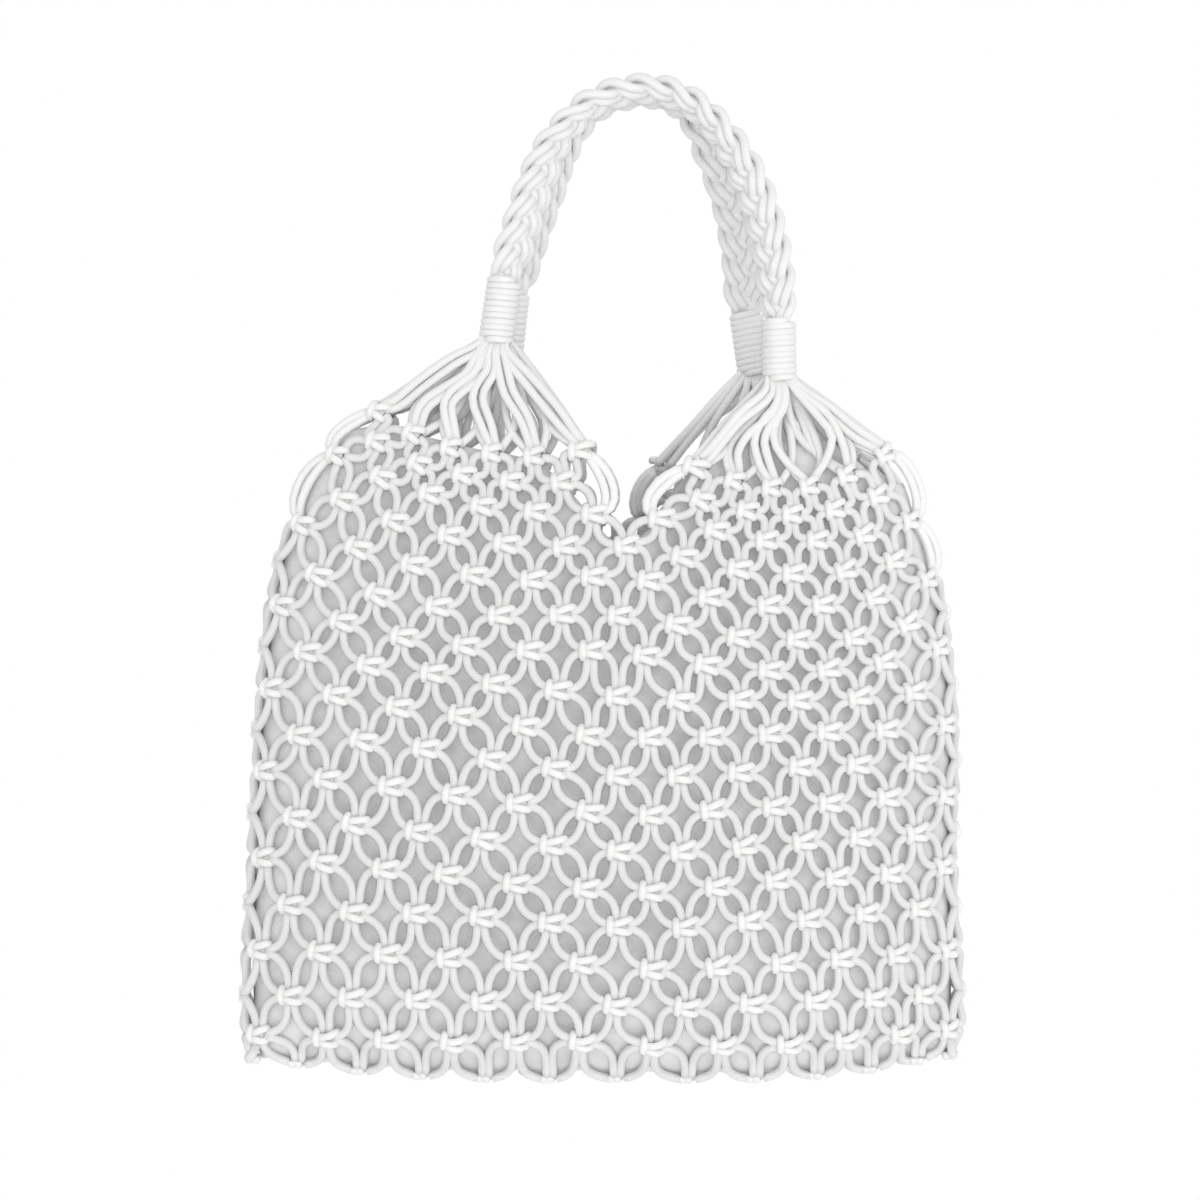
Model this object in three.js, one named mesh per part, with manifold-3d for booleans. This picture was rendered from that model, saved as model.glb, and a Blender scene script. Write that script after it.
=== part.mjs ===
// Beach tote bag: a knotted cotton net over a plain lining, gathered into collars and two braided handles.
// Millimetres, +Z up, the front towards -Y. The origin is where the bag hangs, under the top of its handles.

import * as THREE from 'three';
import { mergeVertices } from 'three/addons/utils/BufferGeometryUtils.js';
import Module from 'manifold-3d';

const wasm = await Module();
wasm.setup();

const FRONT = -1;
const BACK = 1;

// Net: its wall, and how its knots and gaps share it
const STRAND_HALF_WALL = 2.3;
const KNOT_FRONT_RISE = 4.2;
const GAP_SHARE = 0.62;
const SIDE_REACH = 9.5; // from the last column of knots round to the side of the bag
const BACK_SHIFT_LEFT = 4; // the back's two peaks stand closer together than the front's
const BACK_SHIFT_RIGHT = -13;
const BACK_SHIFT_FADE_ROW = 5;

// Lining: a pouch inside the net
const LINING_WALL = 1.2;
const LINING_INSET = 4.2;
const LINING_TAPER_ROW = 12; // below this row the pouch draws in to its floor
const LINING_FLOOR_INSET = 8.5;
const LINING_FLOOR_ROW = 16;
const LINING_BANDS = 8;
const RIM_ROW = 0.7; // where the hem runs under the peaks
const RIM_NOTCH_DIP = 2.4;
const RIM_SIDE_DIP = 3.5;
const RIM_SIDE_SPREAD = 1.3;

// Collars: cord wound round each gathered bundle
const COLLAR_STANDOFF = 16; // from the bag's middle plane
const COLLAR_RADIUS = 9;
const COLLAR_GROOVE = 1;
const COLLAR_BORE = 6.4;
const COLLAR_TURNS = 6;
const COLLAR_SIDES = 12;
const NECK_RADIUS = 5.95;
const NECK_GAP = 0.3;

// Fans: the loose cords between the net and a collar, in six strands of two cords
const STRANDS = 6;
const STRAND_RADIUS = 3.2;
const STRAND_SIDES = 6;
const STRAND_STEPS = 5;
const STRAND_SPREAD = 2.7;
const STRAND_START = 1.5; // how far below the collar the strands begin
const GATHER_LENGTH = 9; // how far below the collar they are still one bundle
const STRAND_END_RUN = 9;
const SEAT_GAP = 0.35;

// Handles: flat three-strand braids
const BRAID_HALF_WIDTH = 11.6;
const BRAID_HALF_THICKNESS = 6.4;
const BRAID_SCALLOP = 1.3;
const BRAID_PITCH = 14;
const BRAID_SIDES = 8;
const RINGS_PER_PITCH = 4;
const HANDLE_TOP_STANDOFF = 13;
const TURN_START_Z = -45; // between these heights the band turns from its leg's angle to that of the top
const TURN_END_Z = 4;
const BRAID_RUN_IN = 11;

// One row for each level of the net, counted in rows of knots from the top (0) to the bottom seam (17).
// x and z follow the six guide columns; depth is half the bag's depth; edge is how far a side edge stands
// from the middle plane.
const GUIDE_COLUMNS = [0, 2.5, 5, 6, 8.5, 11];
const LEVELS = [
  {
    row: 0, depth: 26, edge: 12,
    x: [-135.5, -89, -35, 22.5, 71, 118],
    z: [-154.5, -174.5, -174.5, -182, -192.5, -176],
  },
  {
    row: 2, depth: 31, edge: 8.5,
    x: [-156.5, -96.5, -27, 5.5, 71, 130],
    z: [-176, -199.5, -205, -207.5, -219.5, -209.5],
  },
  {
    row: 5, depth: 37.5, edge: 0.2,
    x: [-179, -105.5, -28.5, -2, 73.5, 142],
    z: [-229.5, -252, -255, -256.5, -269, -254.5],
  },
  {
    row: 8, depth: 42, edge: 0.2,
    x: [-188, -109, -30.5, -0.5, 74, 147.5],
    z: [-292.5, -303.5, -315, -317, -314.5, -311],
  },
  {
    row: 12, depth: 40, edge: 0.2,
    x: [-192.5, -116, -32, 1, 77.5, 147],
    z: [-377, -383.5, -390.5, -392.5, -387.5, -382.5],
  },
  {
    row: 16, depth: 24, edge: 0.2,
    x: [-195.5, -115, -34.5, 0.5, 84, 149.5],
    z: [-466.5, -468, -468, -470, -468.5, -463.5],
  },
  {
    row: 17, depth: 2.9, edge: 2.4,
    x: [-193, -115, -34.5, 0.5, 84, 146],
    z: [-479.5, -487.5, -489, -489, -487.5, -477.5],
  },
];
const ROWS = LEVELS.map((level) => level.row);
const SEAM_ROW = ROWS[ROWS.length - 1];
const LAST_COLUMN = GUIDE_COLUMNS[GUIDE_COLUMNS.length - 1];
const HALF_PITCH = 0.5;
const NOTCH_COLUMN = 5.5;
const NORMAL_STEP = 0.04; // columns and rows over which a normal is taken

// One row for each collar: its upper and lower middle (x, z) and the first of the six columns that it gathers
const COLLARS = [
  { name: 'front_left', side: FRONT, top: [-71.75, -87], foot: [-76.5, -119.5], firstColumn: 0 },
  { name: 'front_right', side: FRONT, top: [65.5, -107.5], foot: [66, -138.5], firstColumn: 6 },
  { name: 'back_left', side: BACK, top: [-68, -91], foot: [-71.5, -123.5], firstColumn: 0 },
  { name: 'back_right', side: BACK, top: [50, -102.5], foot: [54.5, -134.5], firstColumn: 6 },
];

// One row for each handle: the degrees by which the band's outer edge is turned out on its left leg, at the top
// and on its right leg, and the (x, z) points that its middle line takes from the left collar to the right one
const HANDLES = [
  {
    name: 'front',
    side: FRONT,
    turns: [36, 70, 38],
    route: [
      [-65.5, -68], [-57.5, -43.5], [-47, -19], [-27, 1.5], [0, 8],
      [20, 2], [37, -14], [53.5, -43.5], [62, -73.5],
    ],
  },
  {
    name: 'back',
    side: BACK,
    turns: [0, 70, 0],
    route: [
      [-61.5, -68], [-53, -43.5], [-43, -19], [-25, 1.5], [-1, 8],
      [17, 2], [30, -16], [42, -43.5], [48, -73.5],
    ],
  },
];

const cordMaterial = new THREE.MeshStandardMaterial({ color: 0xf1f0ee, roughness: 0.9, metalness: 0 });
const braidMaterial = new THREE.MeshStandardMaterial({ color: 0xeeedeb, roughness: 0.9, metalness: 0 });
const wrapMaterial = new THREE.MeshStandardMaterial({ color: 0xf3f2f0, roughness: 0.85, metalness: 0 });
const liningMaterial = new THREE.MeshStandardMaterial({ color: 0xd5d5d4, roughness: 0.95, metalness: 0 });

// Place of t among the stations: the segment that holds it and the share of that segment
function locate(stations, t) {
  let segment = 0;
  while (segment < stations.length - 2 && t > stations[segment + 1]) {
    segment += 1;
  }
  const span = stations[segment + 1] - stations[segment];
  return { segment, span, share: (t - stations[segment]) / span };
}

// Straight lines through the values at their stations
function linearAt(stations, values, t) {
  const { segment, share } = locate(stations, t);
  return values[segment] + (values[segment + 1] - values[segment]) * share;
}

// One smooth curve through the values at their stations
function smoothAt(stations, values, t) {
  const last = stations.length - 1;
  const slopeAfter = (i) => (values[i + 1] - values[i]) / (stations[i + 1] - stations[i]);
  const slopeAt = (i) => (slopeAfter(Math.max(i - 1, 0)) + slopeAfter(Math.min(i, last - 1))) / 2;
  const { segment, span, share } = locate(stations, t);
  const square = share * share;
  const cube = square * share;
  return (
    values[segment] * (2 * cube - 3 * square + 1)
    + slopeAt(segment) * span * (cube - 2 * square + share)
    + values[segment + 1] * (3 * square - 2 * cube)
    + slopeAt(segment + 1) * span * (cube - square)
  );
}

// A level's value at any column: a parabola through each half's three guides, straight across the notch
function acrossAt(guides, column) {
  const inside = THREE.MathUtils.clamp(column, 0, LAST_COLUMN);
  if (inside > GUIDE_COLUMNS[2] && inside < GUIDE_COLUMNS[3]) {
    return linearAt(GUIDE_COLUMNS, guides, inside);
  }
  const first = inside <= GUIDE_COLUMNS[2] ? 0 : 3;
  const [start, middle, end] = guides.slice(first, first + 3);
  const share = (inside - GUIDE_COLUMNS[first]) / (GUIDE_COLUMNS[first + 2] - GUIDE_COLUMNS[first]);
  return (
    start * (2 * share - 1) * (share - 1)
    + middle * 4 * share * (1 - share)
    + end * share * (2 * share - 1)
  );
}

// The bag's section at a row: where its middle is, how far it reaches and how deep it is
function sectionAt(row) {
  const left = smoothAt(ROWS, LEVELS.map((level) => level.x[0]), row);
  const right = smoothAt(ROWS, LEVELS.map((level) => level.x[level.x.length - 1]), row);
  return {
    middle: (left + right) / 2,
    reach: (right - left) / 2 + SIDE_REACH,
    depth: smoothAt(ROWS, LEVELS.map((level) => level.depth), row),
    edge: linearAt(ROWS, LEVELS.map((level) => level.edge), row),
  };
}

// Point of the net's middle surface at a column and row
function netPoint(column, row, side) {
  let x = smoothAt(ROWS, LEVELS.map((level) => acrossAt(level.x, column)), row);
  const z = smoothAt(ROWS, LEVELS.map((level) => acrossAt(level.z, column)), row);
  const overrun = column - THREE.MathUtils.clamp(column, 0, LAST_COLUMN);
  x += (overrun / HALF_PITCH) * SIDE_REACH;
  const { middle, reach, depth, edge } = sectionAt(row);
  const share = THREE.MathUtils.clamp((x - middle) / reach, -1, 1);
  if (side === BACK) {
    const fade = Math.max(0, 1 - row / BACK_SHIFT_FADE_ROW) ** 2;
    x += fade * linearAt([0, GUIDE_COLUMNS[2], GUIDE_COLUMNS[3], LAST_COLUMN],
      [BACK_SHIFT_LEFT, BACK_SHIFT_LEFT, BACK_SHIFT_RIGHT, BACK_SHIFT_RIGHT], column);
  }
  const y = side * (edge + (depth - edge) * Math.sqrt(1 - share * share));
  return new THREE.Vector3(x, y, z);
}

// Outward normal of the net at a column and row
function netNormal(column, row, side) {
  if (column <= -HALF_PITCH || column >= LAST_COLUMN + HALF_PITCH) {
    return new THREE.Vector3(Math.sign(column - NOTCH_COLUMN), 0, 0);
  }
  const lower = Math.min(row + NORMAL_STEP, SEAM_ROW);
  const upper = Math.max(row - NORMAL_STEP, 0);
  const along = netPoint(column + NORMAL_STEP, row, side).sub(netPoint(column - NORMAL_STEP, row, side));
  const down = netPoint(column, lower, side).sub(netPoint(column, upper, side));
  return down.cross(along).normalize().multiplyScalar(-side);
}

// Closed wall from a sheet: outer and inner points, the sheet's triangles, and a rim on each free edge
function wallGeometry(outer, inner, triangles) {
  const count = outer.length;
  const positions = [...outer, ...inner].flatMap((point) => point.toArray());
  const index = [];
  const edges = new Map();
  for (const [a, b, c] of triangles) {
    index.push(a, b, c, a + count, c + count, b + count);
    for (const [from, to] of [[a, b], [b, c], [c, a]]) {
      edges.set(`${from} ${to}`, [from, to]);
    }
  }
  for (const [from, to] of edges.values()) {
    if (!edges.has(`${to} ${from}`)) {
      index.push(to, from, from + count, to, from + count, to + count);
    }
  }
  const geometry = new THREE.BufferGeometry();
  geometry.setAttribute('position', new THREE.Float32BufferAttribute(positions, 3));
  geometry.setIndex(index);
  return geometry;
}

// Closed solid through rings of points, with a flat end at each side
function loftGeometry(rings) {
  const sides = rings[0].length;
  const positions = rings.flat().flatMap((point) => point.toArray());
  const index = [];
  for (let ring = 0; ring + 1 < rings.length; ring += 1) {
    for (let side = 0; side < sides; side += 1) {
      const a = ring * sides + side;
      const b = ring * sides + (side + 1) % sides;
      index.push(a, b, b + sides, a, b + sides, a + sides);
    }
  }
  const end = (rings.length - 1) * sides;
  for (let side = 1; side + 1 < sides; side += 1) {
    index.push(0, side + 1, side, end, end + side, end + side + 1);
  }
  const geometry = new THREE.BufferGeometry();
  geometry.setAttribute('position', new THREE.Float32BufferAttribute(positions, 3));
  geometry.setIndex(index);
  return geometry;
}

const WELD = 1e-3;

// Solid of a closed geometry, for joining
function solidOf(geometry) {
  const plain = geometry.clone();
  plain.deleteAttribute('normal');
  plain.deleteAttribute('uv');
  const merged = mergeVertices(plain, WELD);
  return new wasm.Manifold(new wasm.Mesh({
    numProp: 3,
    vertProperties: new Float32Array(merged.attributes.position.array),
    triVerts: new Uint32Array(merged.index.array),
  }));
}

// One geometry fused from several closed ones
function fuse(geometries) {
  const mesh = geometries.map(solidOf).reduce((whole, solid) => whole.add(solid)).getMesh();
  const geometry = new THREE.BufferGeometry();
  geometry.setAttribute('position', new THREE.Float32BufferAttribute(mesh.vertProperties, 3));
  geometry.setIndex([...mesh.triVerts]);
  return geometry;
}

// The net's lattice: knots stand alternately on the even and the odd columns
const GROUP_STARTS = [0, 6];
const GROUP_STEPS = 3;
const COLUMN_STEP = GUIDE_COLUMNS[2] / GROUP_STEPS;
const EVEN_COLUMNS = GROUP_STARTS.flatMap(
  (start) => Array.from({ length: GROUP_STEPS + 1 }, (_, step) => start + step * COLUMN_STEP),
);
const ODD_COLUMNS = [-HALF_PITCH];
for (let i = 0; i + 1 < EVEN_COLUMNS.length; i += 1) {
  ODD_COLUMNS.push((EVEN_COLUMNS[i] + EVEN_COLUMNS[i + 1]) / 2);
}
ODD_COLUMNS.push(LAST_COLUMN + HALF_PITCH);

const LAST_LATTICE_ROW = 9;
const SIDE_JOIN = 3; // the lattice row where the two sides of the bag close
const TOP_LATTICE_STEP = 1.7;
const LAST_KNOT_ROW = 16;
const LOOP_OUT = 0.4; // how far, in columns, the free loops stand out of a peak's edge
const NOTCH_LOOP_IN = 0.25;
const NOTCH_KNOT_ROW = 2.75;

// Row of knots at which a lattice row lies: close together at the peaks, wider below
function latticeRow(index) {
  const join = SIDE_JOIN * TOP_LATTICE_STEP;
  if (index <= SIDE_JOIN) {
    return index * TOP_LATTICE_STEP;
  }
  return join + (index - SIDE_JOIN) * (LAST_KNOT_ROW - join) / (LAST_LATTICE_ROW - SIDE_JOIN);
}

// One side of the net: diamond cells with a gap in each, half cells along the edges, a band down to the seam
function netGeometry(side) {
  const outer = [];
  const inner = [];
  const numbers = new Map();
  const triangles = [];

  const vertex = (column, row, rise) => {
    const key = `${column.toFixed(4)} ${row.toFixed(4)}`;
    if (!numbers.has(key)) {
      const point = netPoint(column, row, side);
      const normal = netNormal(column, row, side);
      numbers.set(key, outer.length);
      outer.push(point.clone().addScaledVector(normal, rise));
      inner.push(point.clone().addScaledVector(normal, -STRAND_HALF_WALL));
    }
    return numbers.get(key);
  };
  // Corners run left, bottom, right, top as seen from the front, which the back turns round
  const addFace = (corners) => {
    const turned = side === FRONT ? corners : [...corners].reverse();
    for (let i = 1; i + 1 < turned.length; i += 1) {
      triangles.push([turned[0], turned[i], turned[i + 1]]);
    }
  };
  const knot = ([column, row]) => vertex(column, row, KNOT_FRONT_RISE);
  const addFilled = (places) => addFace(places.map(knot));
  const addCell = (centre, corners) => {
    const toGap = ([column, row]) => vertex(
      centre[0] + (column - centre[0]) * GAP_SHARE,
      centre[1] + (row - centre[1]) * GAP_SHARE,
      STRAND_HALF_WALL,
    );
    corners.forEach((corner, i) => {
      const next = corners[(i + 1) % corners.length];
      addFace([knot(corner), knot(next), toGap(next), toGap(corner)]);
    });
  };

  const odd = (i, index) => {
    if (index !== 1) {
      return ODD_COLUMNS[i];
    }
    return { 0: -LOOP_OUT, [ODD_COLUMNS.length - 1]: LAST_COLUMN + LOOP_OUT }[i] ?? ODD_COLUMNS[i];
  };
  const notchKnot = [NOTCH_COLUMN, NOTCH_KNOT_ROW];
  const notchEven = ODD_COLUMNS.indexOf(NOTCH_COLUMN) - 1; // the even column just left of the notch
  const loopLeft = [EVEN_COLUMNS[notchEven] + NOTCH_LOOP_IN, latticeRow(1)];
  const loopRight = [EVEN_COLUMNS[notchEven + 1] - NOTCH_LOOP_IN, latticeRow(1)];

  for (let index = 1; index < LAST_LATTICE_ROW; index += 1) {
    const [above, row, below] = [latticeRow(index - 1), latticeRow(index), latticeRow(index + 1)];
    if (index % 2 === 1) {
      EVEN_COLUMNS.forEach((column, i) => {
        const left = index === 1 && i === notchEven + 1 ? loopRight : [odd(i, index), row];
        const right = index === 1 && i === notchEven ? loopLeft : [odd(i + 1, index), row];
        addCell([column, row], [left, [column, below], right, [column, above]]);
      });
    } else {
      for (let i = 1; i < EVEN_COLUMNS.length; i += 1) {
        const column = ODD_COLUMNS[i];
        const top = index === 2 && column === NOTCH_COLUMN ? notchKnot : [column, above];
        const centre = [column, index === 2 && column === NOTCH_COLUMN ? (top[1] + below) / 2 : row];
        addCell(centre, [[EVEN_COLUMNS[i - 1], row], [column, below], [EVEN_COLUMNS[i], row], top]);
      }
      if (index > SIDE_JOIN) {
        const [first, last] = [ODD_COLUMNS[0], ODD_COLUMNS[ODD_COLUMNS.length - 1]];
        addFilled([[first, above], [first, below], [EVEN_COLUMNS[0], row]]);
        addFilled([[last, above], [EVEN_COLUMNS[EVEN_COLUMNS.length - 1], row], [last, below]]);
      }
    }
  }

  // The notch between the two peaks
  addFilled([loopLeft, [EVEN_COLUMNS[notchEven], latticeRow(2)], notchKnot]);
  addFilled([loopRight, notchKnot, [EVEN_COLUMNS[notchEven + 1], latticeRow(2)]]);

  // The top edge of each peak, and the band from the last knots to the seam
  for (let i = 0; i + 1 < EVEN_COLUMNS.length; i += 1) {
    if (i !== notchEven) {
      addFilled([[EVEN_COLUMNS[i], 0], [ODD_COLUMNS[i + 1], latticeRow(1)], [EVEN_COLUMNS[i + 1], 0]]);
    }
  }
  const lastRow = latticeRow(LAST_LATTICE_ROW);
  const beforeLast = latticeRow(LAST_LATTICE_ROW - 1);
  for (let i = 0; i + 1 < ODD_COLUMNS.length; i += 1) {
    const [left, right] = [ODD_COLUMNS[i], ODD_COLUMNS[i + 1]];
    addFilled([[left, lastRow], [right, lastRow], [EVEN_COLUMNS[i], beforeLast]]);
    const seam = [left, right].map((column) => vertex(column, SEAM_ROW, STRAND_HALF_WALL));
    addFace([knot([left, lastRow]), seam[0], seam[1], knot([right, lastRow])]);
  }
  return wallGeometry(outer, inner, triangles);
}

// Row where the lining's hem runs at a column: high under the peaks, low at the notches and sides
function rimRow(column) {
  const fromNotch = Math.abs(column - NOTCH_COLUMN);
  const fromSide = NOTCH_COLUMN + HALF_PITCH - fromNotch;
  const notchDip = RIM_NOTCH_DIP * Math.exp(-(fromNotch ** 2));
  const sideDip = RIM_SIDE_DIP * Math.exp(-((fromSide / RIM_SIDE_SPREAD) ** 2));
  return RIM_ROW + notchDip + sideDip;
}

// The lining: rings of points round the pouch from hem to floor, and the floor between front and back
function liningGeometry() {
  const columns = [...EVEN_COLUMNS, ...ODD_COLUMNS].sort((a, b) => a - b);
  const ring = [
    ...columns.slice(0, -1).map((column) => ({ column, side: FRONT })),
    ...columns.slice(1).reverse().map((column) => ({ column, side: BACK })),
  ];
  const outer = [];
  const inner = [];
  const triangles = [];
  const insetPoint = ({ column, side }, row, inset) => {
    const { middle, reach, depth } = sectionAt(row);
    const point = netPoint(column, row, side);
    point.x = middle + (point.x - middle) * (reach - inset) / reach;
    point.y *= (depth - inset) / depth;
    return point;
  };
  for (let band = 0; band <= LINING_BANDS; band += 1) {
    const share = band / LINING_BANDS;
    for (const place of ring) {
      const start = rimRow(place.column);
      const row = start + (LINING_FLOOR_ROW - start) * share;
      const inset = THREE.MathUtils.mapLinear(
        Math.max(row, LINING_TAPER_ROW),
        LINING_TAPER_ROW,
        LINING_FLOOR_ROW,
        LINING_INSET,
        LINING_FLOOR_INSET,
      );
      outer.push(insetPoint(place, row, inset));
      const raised = band === LINING_BANDS ? LINING_WALL : 0;
      inner.push(insetPoint(place, row, inset + LINING_WALL).add(new THREE.Vector3(0, 0, raised)));
    }
  }
  const around = ring.length;
  for (let band = 0; band < LINING_BANDS; band += 1) {
    for (let i = 0; i < around; i += 1) {
      const a = band * around + i;
      const b = band * around + (i + 1) % around;
      triangles.push([a, a + around, b + around], [a, b + around, b]);
    }
  }
  const floor = LINING_BANDS * around;
  for (let i = 0; i < around / 2; i += 1) {
    const frontHere = floor + i;
    const frontNext = floor + i + 1;
    const backHere = floor + (around - i) % around;
    const backNext = floor + around - i - 1;
    if (backHere !== frontHere) {
      triangles.push([frontHere, backHere, frontNext]);
    }
    if (backNext !== frontNext) {
      triangles.push([frontNext, backHere, backNext]);
    }
  }
  return wallGeometry(outer, inner, triangles);
}

// Middle of a collar's end, in space
function collarEnd(collar, end) {
  const [x, z] = collar[end];
  return new THREE.Vector3(x, collar.side * COLLAR_STANDOFF, z);
}

// A wound sleeve along +Z, one rounded rib for each pair of turns
function collarGeometry(length) {
  const profile = [new THREE.Vector2(COLLAR_BORE, 0)];
  const turn = length / COLLAR_TURNS;
  for (let i = 0; i < COLLAR_TURNS; i += 1) {
    profile.push(new THREE.Vector2(COLLAR_RADIUS - COLLAR_GROOVE, i * turn));
    profile.push(new THREE.Vector2(COLLAR_RADIUS, (i + 0.5) * turn));
  }
  profile.push(new THREE.Vector2(COLLAR_RADIUS - COLLAR_GROOVE, length));
  profile.push(new THREE.Vector2(COLLAR_BORE, length));
  profile.push(profile[0].clone());
  return new THREE.LatheGeometry(profile, COLLAR_SIDES).rotateX(Math.PI / 2);
}

// A round neck between two points
function neckGeometry(from, to) {
  const along = to.clone().sub(from);
  const way = along.clone().normalize();
  const turn = new THREE.Quaternion().setFromUnitVectors(new THREE.Vector3(0, 1, 0), way);
  const middle = from.clone().add(to).multiplyScalar(0.5);
  return new THREE.CylinderGeometry(NECK_RADIUS, NECK_RADIUS, along.length(), BRAID_SIDES)
    .applyMatrix4(new THREE.Matrix4().makeRotationFromQuaternion(turn))
    .translate(middle.x, middle.y, middle.z);
}

// Point of a peak's top edge, some columns in from its first, on the straight line between two lattice knots
function topEdgePoint(firstColumn, columnsIn, side) {
  const segment = Math.min(Math.floor(columnsIn / COLUMN_STEP), GROUP_STEPS - 1);
  const [from, to] = [segment, segment + 1].map(
    (step) => netPoint(firstColumn + step * COLUMN_STEP, 0, side),
  );
  const point = from.clone().lerp(to, columnsIn / COLUMN_STEP - segment);
  const up = to.clone().sub(from).cross(netNormal(firstColumn + columnsIn, 0, side)).normalize();
  return { point, up: up.multiplyScalar(Math.sign(up.z)) };
}

// A fan: six strands from the top edge of a peak into the neck inside its collar
function fanGeometry(collar) {
  const foot = collarEnd(collar, 'foot');
  const top = collarEnd(collar, 'top');
  const axis = top.clone().sub(foot).normalize();
  const neckTop = foot.clone().lerp(top, 0.5).addScaledVector(axis, -NECK_GAP / 2);
  const pieces = [neckGeometry(foot.clone().addScaledVector(axis, -GATHER_LENGTH), neckTop)];
  const section = new THREE.Shape();
  for (let i = 0; i < STRAND_SIDES; i += 1) {
    const angle = (i / STRAND_SIDES) * 2 * Math.PI;
    section.lineTo(STRAND_RADIUS * Math.cos(angle), STRAND_RADIUS * Math.sin(angle));
  }
  for (let i = 0; i < STRANDS; i += 1) {
    const { point, up } = topEdgePoint(collar.firstColumn, i, collar.side);
    const spread = (i - (STRANDS - 1) / 2) / ((STRANDS - 1) / 2);
    const start = foot.clone().addScaledVector(axis, -STRAND_START);
    start.x += spread * STRAND_SPREAD;
    const below = start.clone().addScaledVector(axis, STRAND_START - GATHER_LENGTH);
    const end = point.clone().addScaledVector(up, SEAT_GAP);
    const beforeEnd = end.clone().addScaledVector(up, STRAND_END_RUN);
    const route = new THREE.CatmullRomCurve3([start, below, beforeEnd, end]);
    pieces.push(new THREE.ExtrudeGeometry(section, {
      steps: STRAND_STEPS,
      bevelEnabled: false,
      extrudePath: route,
    }));
  }
  return fuse(pieces);
}

// A handle: the flat braid, with scalloped edges, running into a round neck inside each collar
function handleGeometry({ side, turns, route }, left, right) {
  const standoff = (z) => {
    const share = THREE.MathUtils.smoothstep(z, collarEnd(left, 'top').z, 0);
    return side * (COLLAR_STANDOFF + (HANDLE_TOP_STANDOFF - COLLAR_STANDOFF) * share);
  };
  const ends = [left, right].map((collar) => {
    const top = collarEnd(collar, 'top');
    const axis = top.clone().sub(collarEnd(collar, 'foot')).normalize();
    const middle = collarEnd(collar, 'foot').lerp(top, 0.5).addScaledVector(axis, NECK_GAP / 2);
    return { top, middle };
  });
  const path = new THREE.CatmullRomCurve3([
    ends[0].middle,
    ends[0].top,
    ...route.map(([x, z]) => new THREE.Vector3(x, standoff(z), z)),
    ends[1].top,
    ends[1].middle,
  ]);
  const length = path.getLength();
  const neck = ends[0].top.distanceTo(ends[0].middle);
  const [leftTurn, topTurn, rightTurn] = turns.map(THREE.MathUtils.degToRad);
  const count = Math.round(length / BRAID_PITCH) * RINGS_PER_PITCH;
  const depthWay = new THREE.Vector3(0, 1, 0);
  const rings = [];
  for (let i = 0; i <= count; i += 1) {
    const centre = path.getPointAt(i / count);
    const tangent = path.getTangentAt(i / count);
    const outward = depthWay.clone().cross(tangent).normalize();
    const depth = tangent.clone().cross(outward).normalize();
    const legTurn = tangent.z > 0 ? leftTurn : rightTurn;
    const turned = THREE.MathUtils.smoothstep(centre.z, TURN_START_Z, TURN_END_Z);
    const turn = THREE.MathUtils.lerp(legTurn, topTurn, turned);
    const wide = outward.clone().multiplyScalar(Math.cos(turn))
      .addScaledVector(depth, -side * Math.sin(turn));
    const thick = tangent.clone().cross(wide).normalize();
    const fromEnd = Math.min(i, count - i) / count * length;
    const braided = THREE.MathUtils.smoothstep(fromEnd, neck, neck + BRAID_RUN_IN);
    const wave = BRAID_SCALLOP * Math.sin((i / RINGS_PER_PITCH) * 2 * Math.PI);
    const ring = [];
    for (let k = 0; k < BRAID_SIDES; k += 1) {
      const angle = (k / BRAID_SIDES) * 2 * Math.PI;
      const bandWidth = BRAID_HALF_WIDTH + Math.sign(Math.cos(angle)) * wave;
      const halfWidth = THREE.MathUtils.lerp(NECK_RADIUS, bandWidth, braided);
      const halfThickness = THREE.MathUtils.lerp(NECK_RADIUS, BRAID_HALF_THICKNESS, braided);
      ring.push(centre.clone()
        .addScaledVector(wide, halfWidth * Math.cos(angle))
        .addScaledVector(thick, halfThickness * Math.sin(angle)));
    }
    rings.push(ring);
  }
  return loftGeometry(rings);
}

const bag = new THREE.Group();

function addMesh(group, name, geometry, material) {
  const mesh = new THREE.Mesh(geometry, material);
  mesh.name = name;
  group.add(mesh);
  return mesh;
}

const body = new THREE.Group();
addMesh(body, 'net_front', netGeometry(FRONT), cordMaterial);
addMesh(body, 'net_back', netGeometry(BACK), cordMaterial);
addMesh(body, 'lining', liningGeometry(), liningMaterial);
bag.add(body);

const gathers = new THREE.Group();
for (const collar of COLLARS) {
  addMesh(gathers, `fan_${collar.name}`, fanGeometry(collar), cordMaterial);
  const foot = collarEnd(collar, 'foot');
  const along = collarEnd(collar, 'top').sub(foot);
  const sleeve = addMesh(gathers, `collar_${collar.name}`, collarGeometry(along.length()), wrapMaterial);
  sleeve.position.copy(foot);
  sleeve.quaternion.setFromUnitVectors(new THREE.Vector3(0, 0, 1), along.normalize());
}
bag.add(gathers);

const handles = new THREE.Group();
for (const handle of HANDLES) {
  const [left, right] = COLLARS.filter((collar) => collar.side === handle.side);
  addMesh(handles, `handle_${handle.name}`, handleGeometry(handle, left, right), braidMaterial);
}
bag.add(handles);

export default bag;
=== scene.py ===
"""A beach tote bag of knotted white cotton cord over a plain lining, hanging by its braided handles.

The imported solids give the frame: metres, +Z up, the front towards -Y, the origin where the bag hangs.
"""

from __future__ import annotations

import logging
import math
from dataclasses import dataclass, field
from enum import Enum
from typing import NamedTuple

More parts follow.
